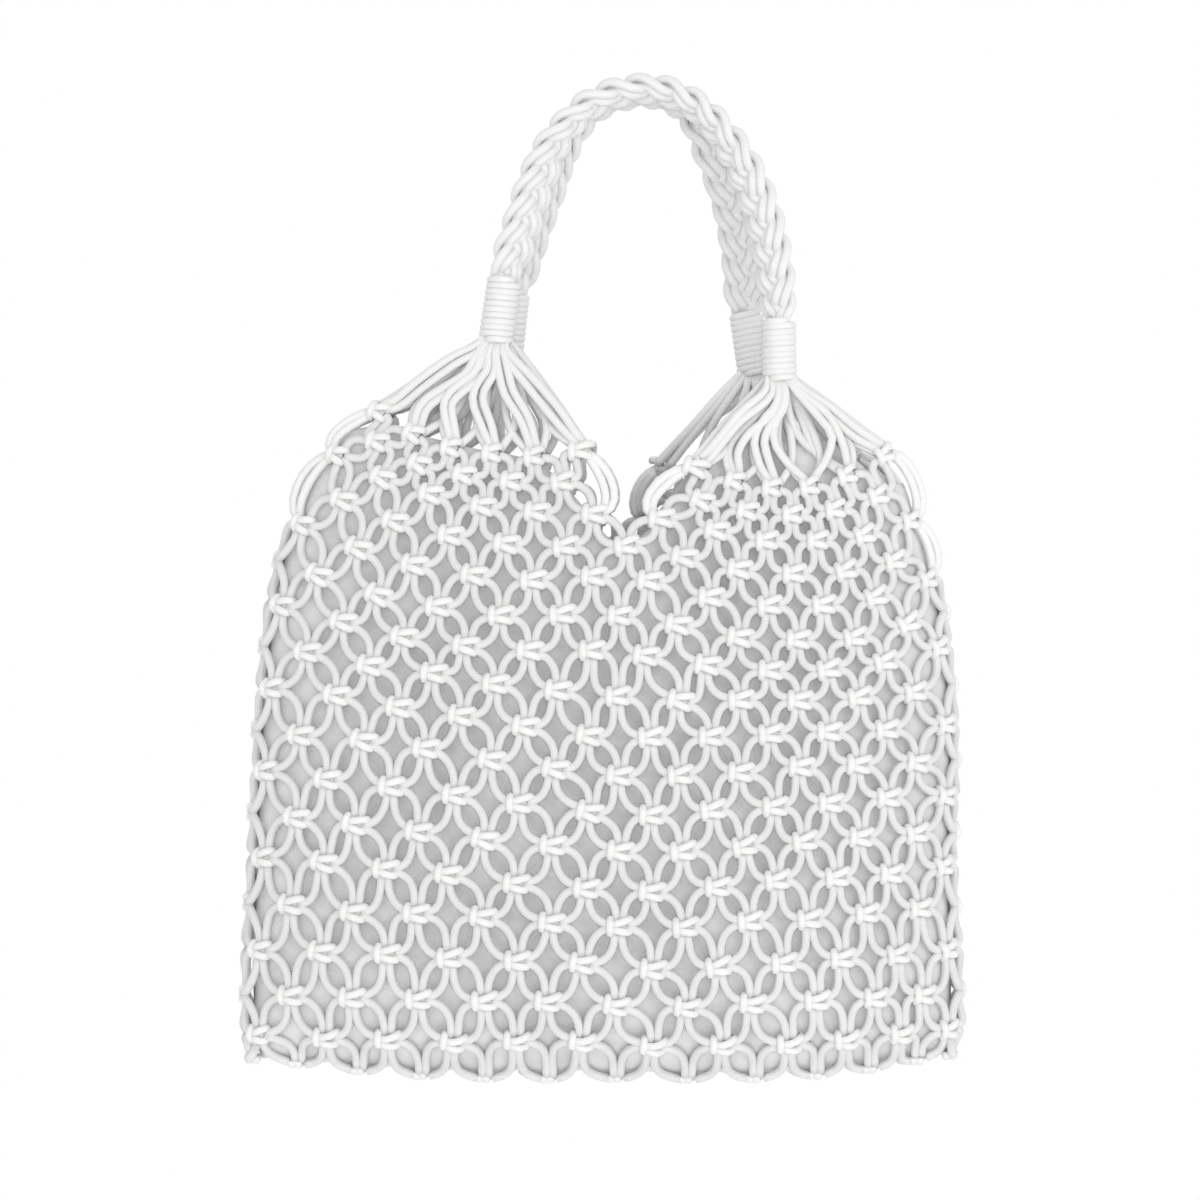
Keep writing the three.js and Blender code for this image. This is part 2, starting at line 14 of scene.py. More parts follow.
import bpy
import numpy as np
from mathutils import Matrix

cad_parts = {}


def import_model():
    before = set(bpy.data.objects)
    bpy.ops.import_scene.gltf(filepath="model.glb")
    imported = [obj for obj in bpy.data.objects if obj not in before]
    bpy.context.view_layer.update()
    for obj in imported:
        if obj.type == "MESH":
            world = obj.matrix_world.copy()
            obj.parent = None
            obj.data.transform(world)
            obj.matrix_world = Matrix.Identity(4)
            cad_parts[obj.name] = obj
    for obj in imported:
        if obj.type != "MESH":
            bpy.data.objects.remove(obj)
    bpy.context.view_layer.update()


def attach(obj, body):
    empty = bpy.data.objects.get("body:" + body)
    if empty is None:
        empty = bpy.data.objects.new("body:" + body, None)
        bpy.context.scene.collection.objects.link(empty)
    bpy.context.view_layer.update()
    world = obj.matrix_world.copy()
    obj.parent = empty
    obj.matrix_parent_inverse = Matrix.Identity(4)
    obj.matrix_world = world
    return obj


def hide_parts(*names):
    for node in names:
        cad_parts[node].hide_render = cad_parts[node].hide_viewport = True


log = logging.getLogger("tote_bag")

Array = np.ndarray
Local = tuple[float, float, float]
Colour = tuple[float, float, float]
XZ = tuple[float, float]

MM = 0.001
BODY = "root"
# Point attribute that sets how much shade the cord material paints on a vertex: none from it at 1.
TONE = "tone"
QUAD = 4
WHITE = (1.0, 1.0, 1.0, 1.0)
RIGHTWARD = np.array([1.0, 0, 0])
BACKWARD = np.array([0, 1.0, 0])

# Seeds of the random numbers. A face of the net adds its sign, a collar the ring column of its first knot,
# and a fan a step for each ring column up to its first knot.
SEED = 7
FAN_SEED = 8
FAN_SEED_STEP = 3
FOLD_SEED = 18

# The net goes round the bag in ring columns: the front counts 0 to 11, the right side is 11.5, the back goes
# on to 23, and the left side is 23.5, which is also -0.5.
RING = 24
LAST_COLUMN = 11
HALF_COLUMN = 0.5
RIGHT_SIDE = 11.5
LEFT_SIDE = 23.5
KNOT_ROWS = 17
SEAM_ROW = 17
NOTCH_COLUMN = 5.5
PEAK_FROM_NOTCH = 3.0

# Rows with places where no knot is tied and the cords pass by.
FREE_PLACES = {1: (NOTCH_COLUMN, RIGHT_SIDE, 17.5, LEFT_SIDE), 3: (RIGHT_SIDE, LEFT_SIDE)}
KNOTS_PER_FAN = 6

# From the bag's middle plane to the middle of a collar, in millimetres.
COLLAR_STANDOFF = 16.0


class Slot(Enum):
    """Material slots of the record."""

    CORD = "cord"
    BRAID = "braid"
    WRAP = "wrap"
    LINING = "lining"


class Side(Enum):
    """The two faces of the bag, by the sign of Y."""

    FRONT = -1.0
    BACK = 1.0


class Link(Enum):
    """How a pair of cords runs down from a knot."""

    RIGHT = "to the knot below on the right"
    LEFT = "to the knot below on the left"
    LOOP_RIGHT = "past a free place on the right, to the knot two rows down"
    LOOP_LEFT = "past a free place on the left, to the knot two rows down"
    TIP_RIGHT = "to the seam on the right"
    TIP_LEFT = "to the seam on the left"


@dataclass(frozen=True)
class NetLevel:
    """One level of the net, in millimetres.

    Attributes:
        row: knot row, from 0 at the top to 17 at the seam.
        x: places of the six guide columns across the front.
        z: heights of the six guide columns.
        depth: half the bag's depth.
        edge: how far a side edge stands from the middle plane.
    """

    row: float
    x: tuple[float, ...]
    z: tuple[float, ...]
    depth: float
    edge: float


@dataclass(frozen=True)
class CollarPlace:
    """Where a collar binds a gathered bundle, in millimetres.

    Attributes:
        name: which of the four collars.
        side: the face of the bag it belongs to.
        top: x and z of its upper end.
        foot: x and z of its lower end.
        first_ring: ring column of the leftmost knot that it gathers, seen from the front.
        ring_step: way along the ring to the next of its knots.
    """

    name: str
    side: Side
    top: XZ
    foot: XZ
    first_ring: int
    ring_step: int

    def point(self, end: XZ) -> Array:
        """Middle of one of its ends, in metres."""
        return MM * np.array([end[0], self.side.value * COLLAR_STANDOFF, end[1]])


@dataclass(frozen=True)
class HandleRoute:
    """Course of a handle between its two collars.

    Attributes:
        name: which of the two handles.
        side: the face of the bag it belongs to.
        turns: degrees by which the band's outer edge turns out on its left leg, at the top and on the right.
        points: x and z of its middle line, in millimetres.
    """

    name: str
    side: Side
    turns: tuple[float, float, float]
    points: tuple[XZ, ...]


@dataclass(frozen=True)
class FanStrand:
    """Course of cords that show between a front collar and one of its top knots, in millimetres.

    Attributes:
        knot: which of the collar's six knots, from the left.
        points: x and z that the strand's middle passes on its way down.
        places: how far each of its cords lies to the right of the middle.
        lift: how far it bows out from the bag.
    """

    knot: int
    points: tuple[XZ, ...]
    places: tuple[float, ...] = (-2.1, 2.1)
    lift: float = 1.5


# Guide columns, and those where the left and the right half of a face begin and end.
GUIDE_COLUMNS = np.array([0, 2.5, 5, 6, 8.5, 11])
HALF_EDGES = GUIDE_COLUMNS[[0, 2, 3, 5]]

LEVELS = (
    NetLevel(0, (-135.5, -89, -35, 22.5, 71, 118), (-154.5, -174.5, -174.5, -182, -192.5, -176), 26, 12),
    NetLevel(2, (-156.5, -96.5, -27, 5.5, 71, 130), (-176, -199.5, -205, -207.5, -219.5, -209.5), 31, 8.5),
    NetLevel(5, (-179, -105.5, -28.5, -2, 73.5, 142), (-229.5, -252, -255, -256.5, -269, -254.5), 37.5, 0.2),
    NetLevel(8, (-188, -109, -30.5, -0.5, 74, 147.5), (-292.5, -303.5, -315, -317, -314.5, -311), 42, 0.2),
    NetLevel(12, (-192.5, -116, -32, 1, 77.5, 147), (-377, -383.5, -390.5, -392.5, -387.5, -382.5), 40, 0.2),
    NetLevel(16, (-195.5, -115, -34.5, 0.5, 84, 149.5), (-466.5, -468, -468, -470, -468.5, -463.5), 24, 0.2),
    NetLevel(17, (-193, -115, -34.5, 0.5, 84, 146), (-479.5, -487.5, -489, -489, -487.5, -477.5), 2.9, 2.4),
)
COLLARS = (
    CollarPlace("front_left", Side.FRONT, (-71.75, -87), (-76.5, -119.5), 0, 1),
    CollarPlace("front_right", Side.FRONT, (65.5, -107.5), (66, -138.5), 6, 1),
    CollarPlace("back_left", Side.BACK, (-68, -91), (-71.5, -123.5), 23, -1),
    CollarPlace("back_right", Side.BACK, (50, -102.5), (54.5, -134.5), 17, -1),
)
HANDLES = (
    HandleRoute("front", Side.FRONT, (36, 70, 38), (
        (-65.5, -68), (-57.5, -43.5), (-47, -19), (-27, 1.5), (0, 8),
        (20, 2), (37, -14), (53.5, -43.5), (62, -73.5),
    )),
    HandleRoute("back", Side.BACK, (0, 70, 0), (
        (-61.5, -68), (-53, -43.5), (-43, -19), (-25, 1.5), (-1, 8),
        (17, 2), (30, -16), (42, -43.5), (48, -73.5),
    )),
)

LEFT_FAN = (
    FanStrand(0, ((-87, -123), (-98, -128.5), (-111, -138.5), (-124, -149.5))),
    FanStrand(1, ((-84, -127), (-90, -136), (-102, -143.5), (-111, -150))),
    FanStrand(2, ((-82, -125), (-83.5, -134.5), (-94, -143.5), (-99, -149))),
    FanStrand(3, ((-78.5, -125), (-78.5, -133.5), (-84, -142.5), (-85, -149), (-81, -160))),
    FanStrand(4, ((-74, -125), (-72.5, -134.5), (-70, -144.5), (-62, -157.5))),
    FanStrand(5, ((-71, -125), (-61, -137.5), (-48, -153.5))),
)
RIGHT_FAN = (
    FanStrand(0, ((60, -146), (46, -157.5), (36, -168.5), (28, -178))),
    FanStrand(1, ((64, -147), (61, -155), (50, -164.5), (44, -173.5)), (1.6,)),
    FanStrand(1, ((62, -149), (52, -161), (43, -171)), (-1.6,), -3.0),
    FanStrand(2, ((66.5, -146), (65, -152.5), (59, -160.5), (56, -169), (58, -178.5))),
    FanStrand(3, ((70.5, -146), (70.5, -152), (66, -161), (65.5, -169), (70, -177.5)), (-1.6,)),
    FanStrand(3, ((75, -147), (84, -158.5), (89.5, -167), (87.5, -176)), (1.6,)),
    FanStrand(4, ((76, -146.5), (89, -157.5), (95, -168.5)), (1.6,)),
    FanStrand(4, ((72, -158), (79, -168.5), (91, -176.5)), (-1.6,), -4.0),
    FanStrand(5, ((76, -144.5), (91, -154.5), (104, -164.5))),
)


def unit(vectors: Array) -> Array:
    """Vectors scaled to length one along the last axis."""
    return vectors / np.linalg.norm(vectors, axis=-1, keepdims=True)


def smoothstep(value: Array, low: float, high: float) -> Array:
    """Smooth rise from 0 at low to 1 at high."""
    share = np.clip((np.asarray(value) - low) / (high - low), 0, 1)
    return share * share * (3 - 2 * share)


def front_column(ring: Array) -> Array:
    """Column of the front that is at a ring column or faces it."""
    return np.where(ring <= RIGHT_SIDE, ring, RING - 1 - ring)


def lengths_along(line: Array) -> Array:
    """Length of a line from its start to each of its points."""
    return np.concatenate([[0], np.cumsum(np.linalg.norm(np.diff(line, axis=0), axis=1))])


def smooth_at(stations: Array, values: Array, places: Array) -> Array:
    """Smooth curves through values at their stations.

    Args:
        stations: places of the given values, rising.
        values: stations x samples, one curve for each sample.
        places: where each sample's curve is read.

    Returns:
        One value for each sample.
    """
    slopes = np.diff(values, axis=0) / np.diff(stations)[:, None]
    at_station = (np.vstack([slopes[:1], slopes]) + np.vstack([slopes, slopes[-1:]])) / 2
    segment = np.clip(np.searchsorted(stations, places, side="left") - 1, 0, len(stations) - 2)
    span = stations[segment + 1] - stations[segment]
    share = (places - stations[segment]) / span
    sample = np.arange(len(places))
    square, cube = share**2, share**3
    return (
        values[segment, sample] * (2 * cube - 3 * square + 1)
        + at_station[segment, sample] * span * (cube - 2 * square + share)
        + values[segment + 1, sample] * (3 * square - 2 * cube)
        + at_station[segment + 1, sample] * span * (cube - square)
    )


def hermite(start: Array, start_way: Array, end: Array, end_way: Array, stations: int) -> Array:
    """Curves between two points with given ways out and in.

    Args:
        start: cords x 3.
        start_way: cords x 3, with the strength as its length.
        end: cords x 3.
        end_way: cords x 3.
        stations: points along each curve.

    Returns:
        cords x stations x 3.
    """
    t = np.linspace(0, 1, stations)[None, :, None]
    square, cube = t**2, t**3
    return (
        start[:, None] * (2 * cube - 3 * square + 1)
        + start_way[:, None] * (cube - 2 * square + t)
        + end[:, None] * (3 * square - 2 * cube)
        + end_way[:, None] * (cube - square)
    )


def spline(points: Array, stations: int, samples: int = 24) -> Array:
    """A smooth line through points, with evenly spaced stations.

    Args:
        points: control points, n x 3.
        stations: points along the line.
        samples: points worked out between two control points before they are spaced evenly.

    Returns:
        stations x 3.
    """
    padded = np.vstack([2 * points[0] - points[1], points, 2 * points[-1] - points[-2]])
    knots = np.concatenate([[0], np.cumsum(np.sqrt(np.linalg.norm(np.diff(padded, axis=0), axis=1)))])
    dense = []
    for i in range(1, len(padded) - 2):
        t = np.linspace(knots[i], knots[i + 1], samples)[:, None]
        k0, k1, k2, k3 = knots[i - 1:i + 3]
        p0, p1, p2, p3 = padded[i - 1:i + 3]
        a1 = (k1 - t) / (k1 - k0) * p0 + (t - k0) / (k1 - k0) * p1
        a2 = (k2 - t) / (k2 - k1) * p1 + (t - k1) / (k2 - k1) * p2
        a3 = (k3 - t) / (k3 - k2) * p2 + (t - k2) / (k3 - k2) * p3
        b1 = (k2 - t) / (k2 - k0) * a1 + (t - k0) / (k2 - k0) * a2
        b2 = (k3 - t) / (k3 - k1) * a2 + (t - k1) / (k3 - k1) * a3
        dense.append((k2 - t) / (k2 - k1) * b1 + (t - k1) / (k2 - k1) * b2)
    line = np.vstack([dense[0][:1]] + [piece[1:] for piece in dense])
    run = lengths_along(line)
    even = np.linspace(0, run[-1], stations)
    return np.stack([np.interp(even, run, line[:, axis]) for axis in range(3)], axis=1)


class Frames(NamedTuple):
    """Places on the bag with their ways right, up and out, and the width of a column there."""

    origin: Array
    right: Array
    up: Array
    out: Array
    pitch: Array

    def pick(self, index: Array) -> Frames:
        """The frames at some indices."""
        return Frames(*(values[index] for values in self))

    def way(self, local: Local) -> Array:
        """A local direction (right, up, out) at every frame."""
        return local[0] * self.right + local[1] * self.up + local[2] * self.out

    def place(self, local: Local) -> Array:
        """A local point (right, up, out), in millimetres, at every frame."""
        return self.origin + MM * self.way(local)


@dataclass
class BagForm:
    """The hanging bag's surface, by ring column and knot row.

    Attributes:
        side_reach: from the last column of knots round to the side, in millimetres.
        back_shift: how far the back's left and right peaks stand to the right of the front's, in millimetres.
        back_fade_row: row where that shift has gone.
        rows: the levels' rows.
        x: their guide columns' places.
        z: their guide columns' heights.
        depth: half the bag's depth at each.
        edge: how far a side edge stands from the middle plane at each.
    """

    side_reach: float = 9.5
    back_shift: tuple[float, float] = (4, -13)
    back_fade_row: float = 5
    rows: Array = field(default_factory=lambda: np.array([level.row for level in LEVELS], dtype=float))
    x: Array = field(default_factory=lambda: np.array([level.x for level in LEVELS]))
    z: Array = field(default_factory=lambda: np.array([level.z for level in LEVELS]))
    depth: Array = field(default_factory=lambda: np.array([level.depth for level in LEVELS]))
    edge: Array = field(default_factory=lambda: np.array([level.edge for level in LEVELS]))

    def across(self, guides: Array, column: Array) -> Array:
        """Values of every level at columns: a parabola in each half, straight across the notch.

        Args:
            guides: levels x six guide values.
            column: columns, 0 to 11.

        Returns:
            levels x columns.
        """
        result = np.empty((len(guides), len(column)))
        for first in (0, 3):
            share = (column - GUIDE_COLUMNS[first]) / (GUIDE_COLUMNS[first + 2] - GUIDE_COLUMNS[first])
            start, middle, end = (guides[:, first + i, None] for i in range(3))
            half = (
                start * (2 * share - 1) * (share - 1)
                + middle * 4 * share * (1 - share)
                + end * share * (2 * share - 1)
            )
            inside = column <= GUIDE_COLUMNS[2] if first == 0 else column >= GUIDE_COLUMNS[3]
            result[:, inside] = half[:, inside]
        between = (column > GUIDE_COLUMNS[2]) & (column < GUIDE_COLUMNS[3])
        share = column[between] - GUIDE_COLUMNS[2]
        result[:, between] = guides[:, 2, None] * (1 - share) + guides[:, 3, None] * share
        return result

    def section(self, values: Array, row: Array) -> Array:
        """One smooth value for each row."""
        return smooth_at(self.rows, np.repeat(values[:, None], len(row), axis=1), row)

    def point(
        self, ring: Array, row: Array, inset: float | Array = 0.0, side_inset: float | Array = 0.0,
    ) -> Array:
        """Points of the net's middle surface.

        Args:
            ring: ring columns.
            row: knot rows.
            inset: how far inside the surface at the front and back, in millimetres.
            side_inset: how far inside it at the sides, in millimetres.

        Returns:
            Points in metres, n x 3.
        """
        ring = np.mod(np.asarray(ring, dtype=float) + HALF_COLUMN, RING) - HALF_COLUMN
        row = np.clip(np.broadcast_to(np.asarray(row, dtype=float), ring.shape), 0, SEAM_ROW)
        front = ring <= RIGHT_SIDE
        column = front_column(ring)
        inside = np.clip(column, 0, LAST_COLUMN)
        x = smooth_at(self.rows, self.across(self.x, inside), row)
        z = smooth_at(self.rows, self.across(self.z, inside), row)
        x += (column - inside) / HALF_COLUMN * self.side_reach
        left, right = self.section(self.x[:, 0], row), self.section(self.x[:, -1], row)
        middle, reach = (left + right) / 2, (right - left) / 2 + self.side_reach
        depth = self.section(self.depth, row)
        edge = np.interp(row, self.rows, self.edge)
        share = np.clip((x - middle) / reach, -1, 1)
        fade = np.maximum(0, 1 - row / self.back_fade_row) ** 2
        shift = np.interp(column, HALF_EDGES, np.repeat(self.back_shift, 2))
        x += np.where(front, 0, fade * shift)
        y = np.where(front, -1, 1) * (edge + (depth - edge) * np.sqrt(1 - share**2))
        x = middle + (x - middle) * (reach - side_inset) / reach
        y = y * np.maximum(depth - inset, 0) / depth
        return MM * np.stack([x, y, z], axis=1)

    def frames(self, ring: Array, row: Array) -> Frames:
        """Find frames on the surface.

        Args:
            ring: ring column of each place.
            row: row of each place.

        Returns:
            The frames, one for each place.
        """
        ring, row = np.asarray(ring, dtype=float), np.asarray(row, dtype=float)
        step, drop = 0.25, 0.3
        along = self.point(ring + step, row) - self.point(ring - step, row)
        rise = self.point(ring, row - drop) - self.point(ring, row + drop)
        right = unit(along)
        out = unit(np.cross(right, rise))
        pitch = np.linalg.norm(along, axis=1) / (2 * step)
        return Frames(self.point(ring, row), right, np.cross(out, right), out, pitch)


@dataclass
class CordBundle:
    """Round cords gathered for one piece and joined into one mesh.

    Attributes:
        sides: facets round each cord.
        points: vertices of the cords added so far, one array for each addition.
        loops: vertex numbers of their face corners.
        sizes: corners of their faces.
        uvs: metres along the cord and share of the way round it, at each corner.
        tones: tone at each vertex, 0 to 1; the lower it is, the more shade the material paints there.
        count: vertices so far.
    """

    sides: int = 8
    points: list[Array] = field(default_factory=list)
    loops: list[Array] = field(default_factory=list)
    sizes: list[Array] = field(default_factory=list)
    uvs: list[Array] = field(default_factory=list)
    tones: list[Array] = field(default_factory=list)
    count: int = 0

    def add(self, paths: Array, radius: float | Array, across: Array, tone: float | Array = 1.0) -> None:
        """Add cords that have the same number of stations.

        Args:
            paths: middle lines in metres, cords x stations x 3.
            radius: in metres, one for all or cords x stations.
            across: a direction that no line runs along, shaped to go with paths.
            tone: 0 to 1, one for all or cords x stations; the lower it is, the more shade the material paints
                there.
        """
        cords, stations, _ = paths.shape
        tangent = unit(np.gradient(paths, axis=1))
        across = np.broadcast_to(across, paths.shape)
        first = unit(across - tangent * np.sum(across * tangent, axis=2, keepdims=True))
        second = np.cross(tangent, first)
        angle = np.arange(self.sides) * 2 * math.pi / self.sides
        ring = (
            first[:, :, None] * np.cos(angle)[None, None, :, None]
            + second[:, :, None] * np.sin(angle)[None, None, :, None]
        )
        width = np.broadcast_to(radius, (cords, stations))[:, :, None, None]
        self.points.append((paths[:, :, None] + ring * width).reshape(-1, 3))
        self.tones.append(np.repeat(np.broadcast_to(tone, (cords, stations)), self.sides))

        run = np.zeros((cords, stations))
        run[:, 1:] = np.cumsum(np.linalg.norm(np.diff(paths, axis=1), axis=2), axis=1)
        number = self.count + np.arange(cords * stations * self.sides).reshape(cords, stations, self.sides)
        beyond = np.roll(number, -1, axis=2)
        walls = np.stack([number[:, :-1], beyond[:, :-1], beyond[:, 1:], number[:, 1:]], axis=3)
        here = np.arange(self.sides) / self.sides
        there = here + 1 / self.sides
        shape = (cords, stations - 1, self.sides)
        low = np.broadcast_to(run[:, :-1, None], shape)
        high = np.broadcast_to(run[:, 1:, None], shape)
        near, far = np.broadcast_to(here, shape), np.broadcast_to(there, shape)
        wall_uv = np.stack([
            np.stack([low, near], axis=3), np.stack([low, far], axis=3),
            np.stack([high, far], axis=3), np.stack([high, near], axis=3),
        ], axis=3)
        self.loops.append(walls.reshape(-1))
        self.uvs.append(wall_uv.reshape(-1, 2))
        self.sizes.append(np.full(walls.size // QUAD, QUAD))
        ends = np.concatenate([number[:, 0, ::-1], number[:, -1]])
        self.loops.append(ends.reshape(-1))
        self.uvs.append(np.zeros((ends.size, 2)))
        self.sizes.append(np.full(len(ends), self.sides))
        self.count += cords * stations * self.sides

    def build(self, name: str) -> bpy.types.Object:
        """One smooth object of all the cords.

        Args:
            name: the object's name.

        Returns:
            The object, linked to the scene.
        """
        piece = object_from_arrays(
            name, np.concatenate(self.points), np.concatenate(self.loops),
            np.concatenate(self.sizes), np.concatenate(self.uvs),
        )
        tones = piece.data.attributes.new(TONE, "FLOAT", "POINT")
        tones.data.foreach_set("value", np.concatenate(self.tones).astype(np.float32))
        return piece


def object_from_arrays(
    name: str, points: Array, loops: Array, sizes: Array, uvs: Array,
) -> bpy.types.Object:
    """An object with smooth faces from arrays.

    Args:
        name: the object's name.
        points: vertices, n x 3.
        loops: vertex number of each face corner.
        sizes: corners of each face.
        uvs: UV of each face corner, corners x 2.

    Returns:
        The object, linked to the scene.
    """
    mesh = bpy.data.meshes.new(name)
    mesh.vertices.add(len(points))
    mesh.vertices.foreach_set("co", points.astype(np.float32).ravel())
    mesh.loops.add(len(loops))
    mesh.loops.foreach_set("vertex_index", loops.astype(np.int32))
    mesh.polygons.add(len(sizes))
    starts = np.concatenate([[0], np.cumsum(sizes)[:-1]])
    mesh.polygons.foreach_set("loop_start", starts.astype(np.int32))
    mesh.polygons.foreach_set("use_smooth", np.ones(len(sizes), dtype=bool))
    layer = mesh.uv_layers.new(name="Lay")
    layer.data.foreach_set("uv", uvs.astype(np.float32).ravel())
    mesh.update(calc_edges=True)
    mesh.validate()
    piece = bpy.data.objects.new(name, mesh)
    bpy.context.scene.collection.objects.link(piece)
    return piece


@dataclass(frozen=True)
class Grain:
    """Noise in a material.

    Attributes:
        scale: patches in each metre.
        detail: how many times finer noise is laid over it.
        roughness: strength of the finer noise.
    """

    scale: float
    detail: float
    roughness: float


class NodeGraph:
    """A material's nodes, added one after another and joined as they are added."""

    def __init__(self, name: str) -> None:
        """Start a material with its surface shader.

        Args:
            name: the material's name.
        """
        self.material = bpy.data.materials.new(name)
        self.material.use_nodes = True
        self.tree = self.material.node_tree
        self.shader = self.tree.nodes["Principled BSDF"]

    def add(
        self, kind: str, inputs: dict[str | int, object] | None = None, **settings: object,
    ) -> bpy.types.Node:
        """Add a node.

        Args:
            kind: the node's type.
            inputs: values, or sockets to join, by input name or number.
            **settings: the node's own properties.

        Returns:
            The new node.
        """
        node = self.tree.nodes.new(kind)
        for key, value in settings.items():
            setattr(node, key, value)
        for key, value in (inputs or {}).items():
            self.feed(node.inputs[key], value)
        return node

    def feed(self, socket: bpy.types.NodeSocket, value: object) -> None:
        """Join a socket to an output, or set its value.

        Args:
            socket: input to feed.
            value: an output, or a number or colour.
        """
        if isinstance(value, bpy.types.NodeSocket):
            self.tree.links.new(value, socket)
        else:
            socket.default_value = value

    def math(self, operation: str, *values: object) -> bpy.types.NodeSocket:
        """The result of a calculation on numbers or sockets."""
        node = self.add("ShaderNodeMath", dict(enumerate(values)), operation=operation)
        return node.outputs[0]

    def noise(self, coords: bpy.types.NodeSocket, grain: Grain) -> bpy.types.NodeSocket:
        """Add a noise.

        Args:
            coords: coordinates that it lies on.
            grain: how fine and rough it is.

        Returns:
            Its output, 0 to 1.
        """
        node = self.add("ShaderNodeTexNoise", {
            "Vector": coords, "Scale": grain.scale, "Detail": grain.detail, "Roughness": grain.roughness,
        })
        return node.outputs["Fac"]

    def tint(self, share: bpy.types.NodeSocket, colour: Colour, shade: Colour) -> None:
        """Give the shader a colour and a share of its shade.

        Args:
            share: of the shade, 0 to 1.
            colour: where there is no shade.
            shade: where there is nothing else.
        """
        mix = self.add("ShaderNodeMix", {
            "Factor": share, "A": (*colour, 1.0), "B": (*shade, 1.0),
        }, data_type="RGBA")
        self.feed(self.shader.inputs["Base Color"], mix.outputs["Result"])

    def emboss(self, height: bpy.types.NodeSocket, strength: float, depth: float) -> None:
        """Give the shader a fine relief.

        Args:
            height: the relief's height.
            strength: how clearly it shows, 0 to 1.
            depth: its depth, in metres.
        """
        bump = self.add("ShaderNodeBump", {"Strength": strength, "Distance": depth, "Height": height})
        self.feed(self.shader.inputs["Normal"], bump.outputs["Normal"])

    def surface(self, values: dict[str, object]) -> None:
        """Set the shader's own values, by input name."""
        for key, value in values.items():
            self.shader.inputs[key].default_value = value


@dataclass(frozen=True)
class CottonFinish:
    """Soft plaited cotton cord.

    Attributes:
        name: the material's name.
        colour: of the cord in the light.
        shade: colour of the shade painted in the plait's hollows and on the slack stretches that lie back,
            and of the duller worn patches.
        plait_length: length of one crossing of the plait, in metres.
        plait_turns: crossings round the cord.
        plait_share: height of the plait beside that of the fuzz.
        relief: strength of both.
        relief_depth: depth of both, in metres.
        fuzz: grain of the cotton's fibres.
        wear: grain of the duller patches.
        hollow: share of the shade painted in the plait's hollows.
        patch: share of it in the dullest patches.
        recess: share of the shade painted where the tone is lowest, in the slack stretches that lie back.
        roughness: of the surface.
        specular: strength of its shine.
        sheen: strength of its soft edge light.
        sheen_roughness: spread of that light.
    """

    name: str
    colour: Colour
    shade: Colour
    plait_length: float = 0.0021
    plait_turns: float = 4.0
    plait_share: float = 0.5
    relief: float = 0.35
    relief_depth: float = 0.0004
    fuzz: Grain = Grain(900.0, 3.0, 0.6)
    wear: Grain = Grain(26.0, 4.0, 0.55)
    hollow: float = 0.16
    patch: float = 0.25
    recess: float = 0.55
    roughness: float = 0.88
    specular: float = 0.25
    sheen: float = 0.2
    sheen_roughness: float = 0.5

    def material(self) -> bpy.types.Material:
        """Make the material of the plaited cotton.

        Returns:
            The finished material.
        """
        graph = NodeGraph(self.name)
        coords = graph.add("ShaderNodeTexCoord")
        lay = graph.add("ShaderNodeSeparateXYZ", {0: coords.outputs["UV"]})
        along = graph.math("MULTIPLY", lay.outputs["X"], 2 * math.pi / self.plait_length)
        around = graph.math("MULTIPLY", lay.outputs["Y"], 2 * math.pi * self.plait_turns)
        one_way = graph.math("SINE", graph.math("ADD", along, around))
        other_way = graph.math("SINE", graph.math("SUBTRACT", along, around))
        plait = graph.math("MULTIPLY", one_way, other_way)
        fuzz = graph.noise(coords.outputs["Object"], self.fuzz)
        height = graph.math("ADD", graph.math("MULTIPLY", plait, self.plait_share), fuzz)
        graph.emboss(height, self.relief, self.relief_depth)
        tone = graph.add("ShaderNodeAttribute", attribute_name=TONE)
        # Painted shade in the plait's hollows; the worn patches below are random dull cotton.
        hollow_shade = graph.math("MULTIPLY", graph.math("SUBTRACT", 1.0, plait), self.hollow)
        worn = graph.math("MULTIPLY", graph.noise(coords.outputs["Object"], self.wear), self.patch)
        # Painted shade by the tone attribute, on slack cords that lie back and on the cord between a knot's
        # bars.
        recess_shade = graph.math("MULTIPLY", graph.math("SUBTRACT", 1.0, tone.outputs["Fac"]), self.recess)
        share = graph.math("ADD", graph.math("ADD", hollow_shade, worn), recess_shade)
        graph.tint(share, self.colour, self.shade)
        graph.surface({
            "Roughness": self.roughness, "Specular IOR Level": self.specular,
            "Sheen Weight": self.sheen, "Sheen Roughness": self.sheen_roughness,
        })
        return graph.material


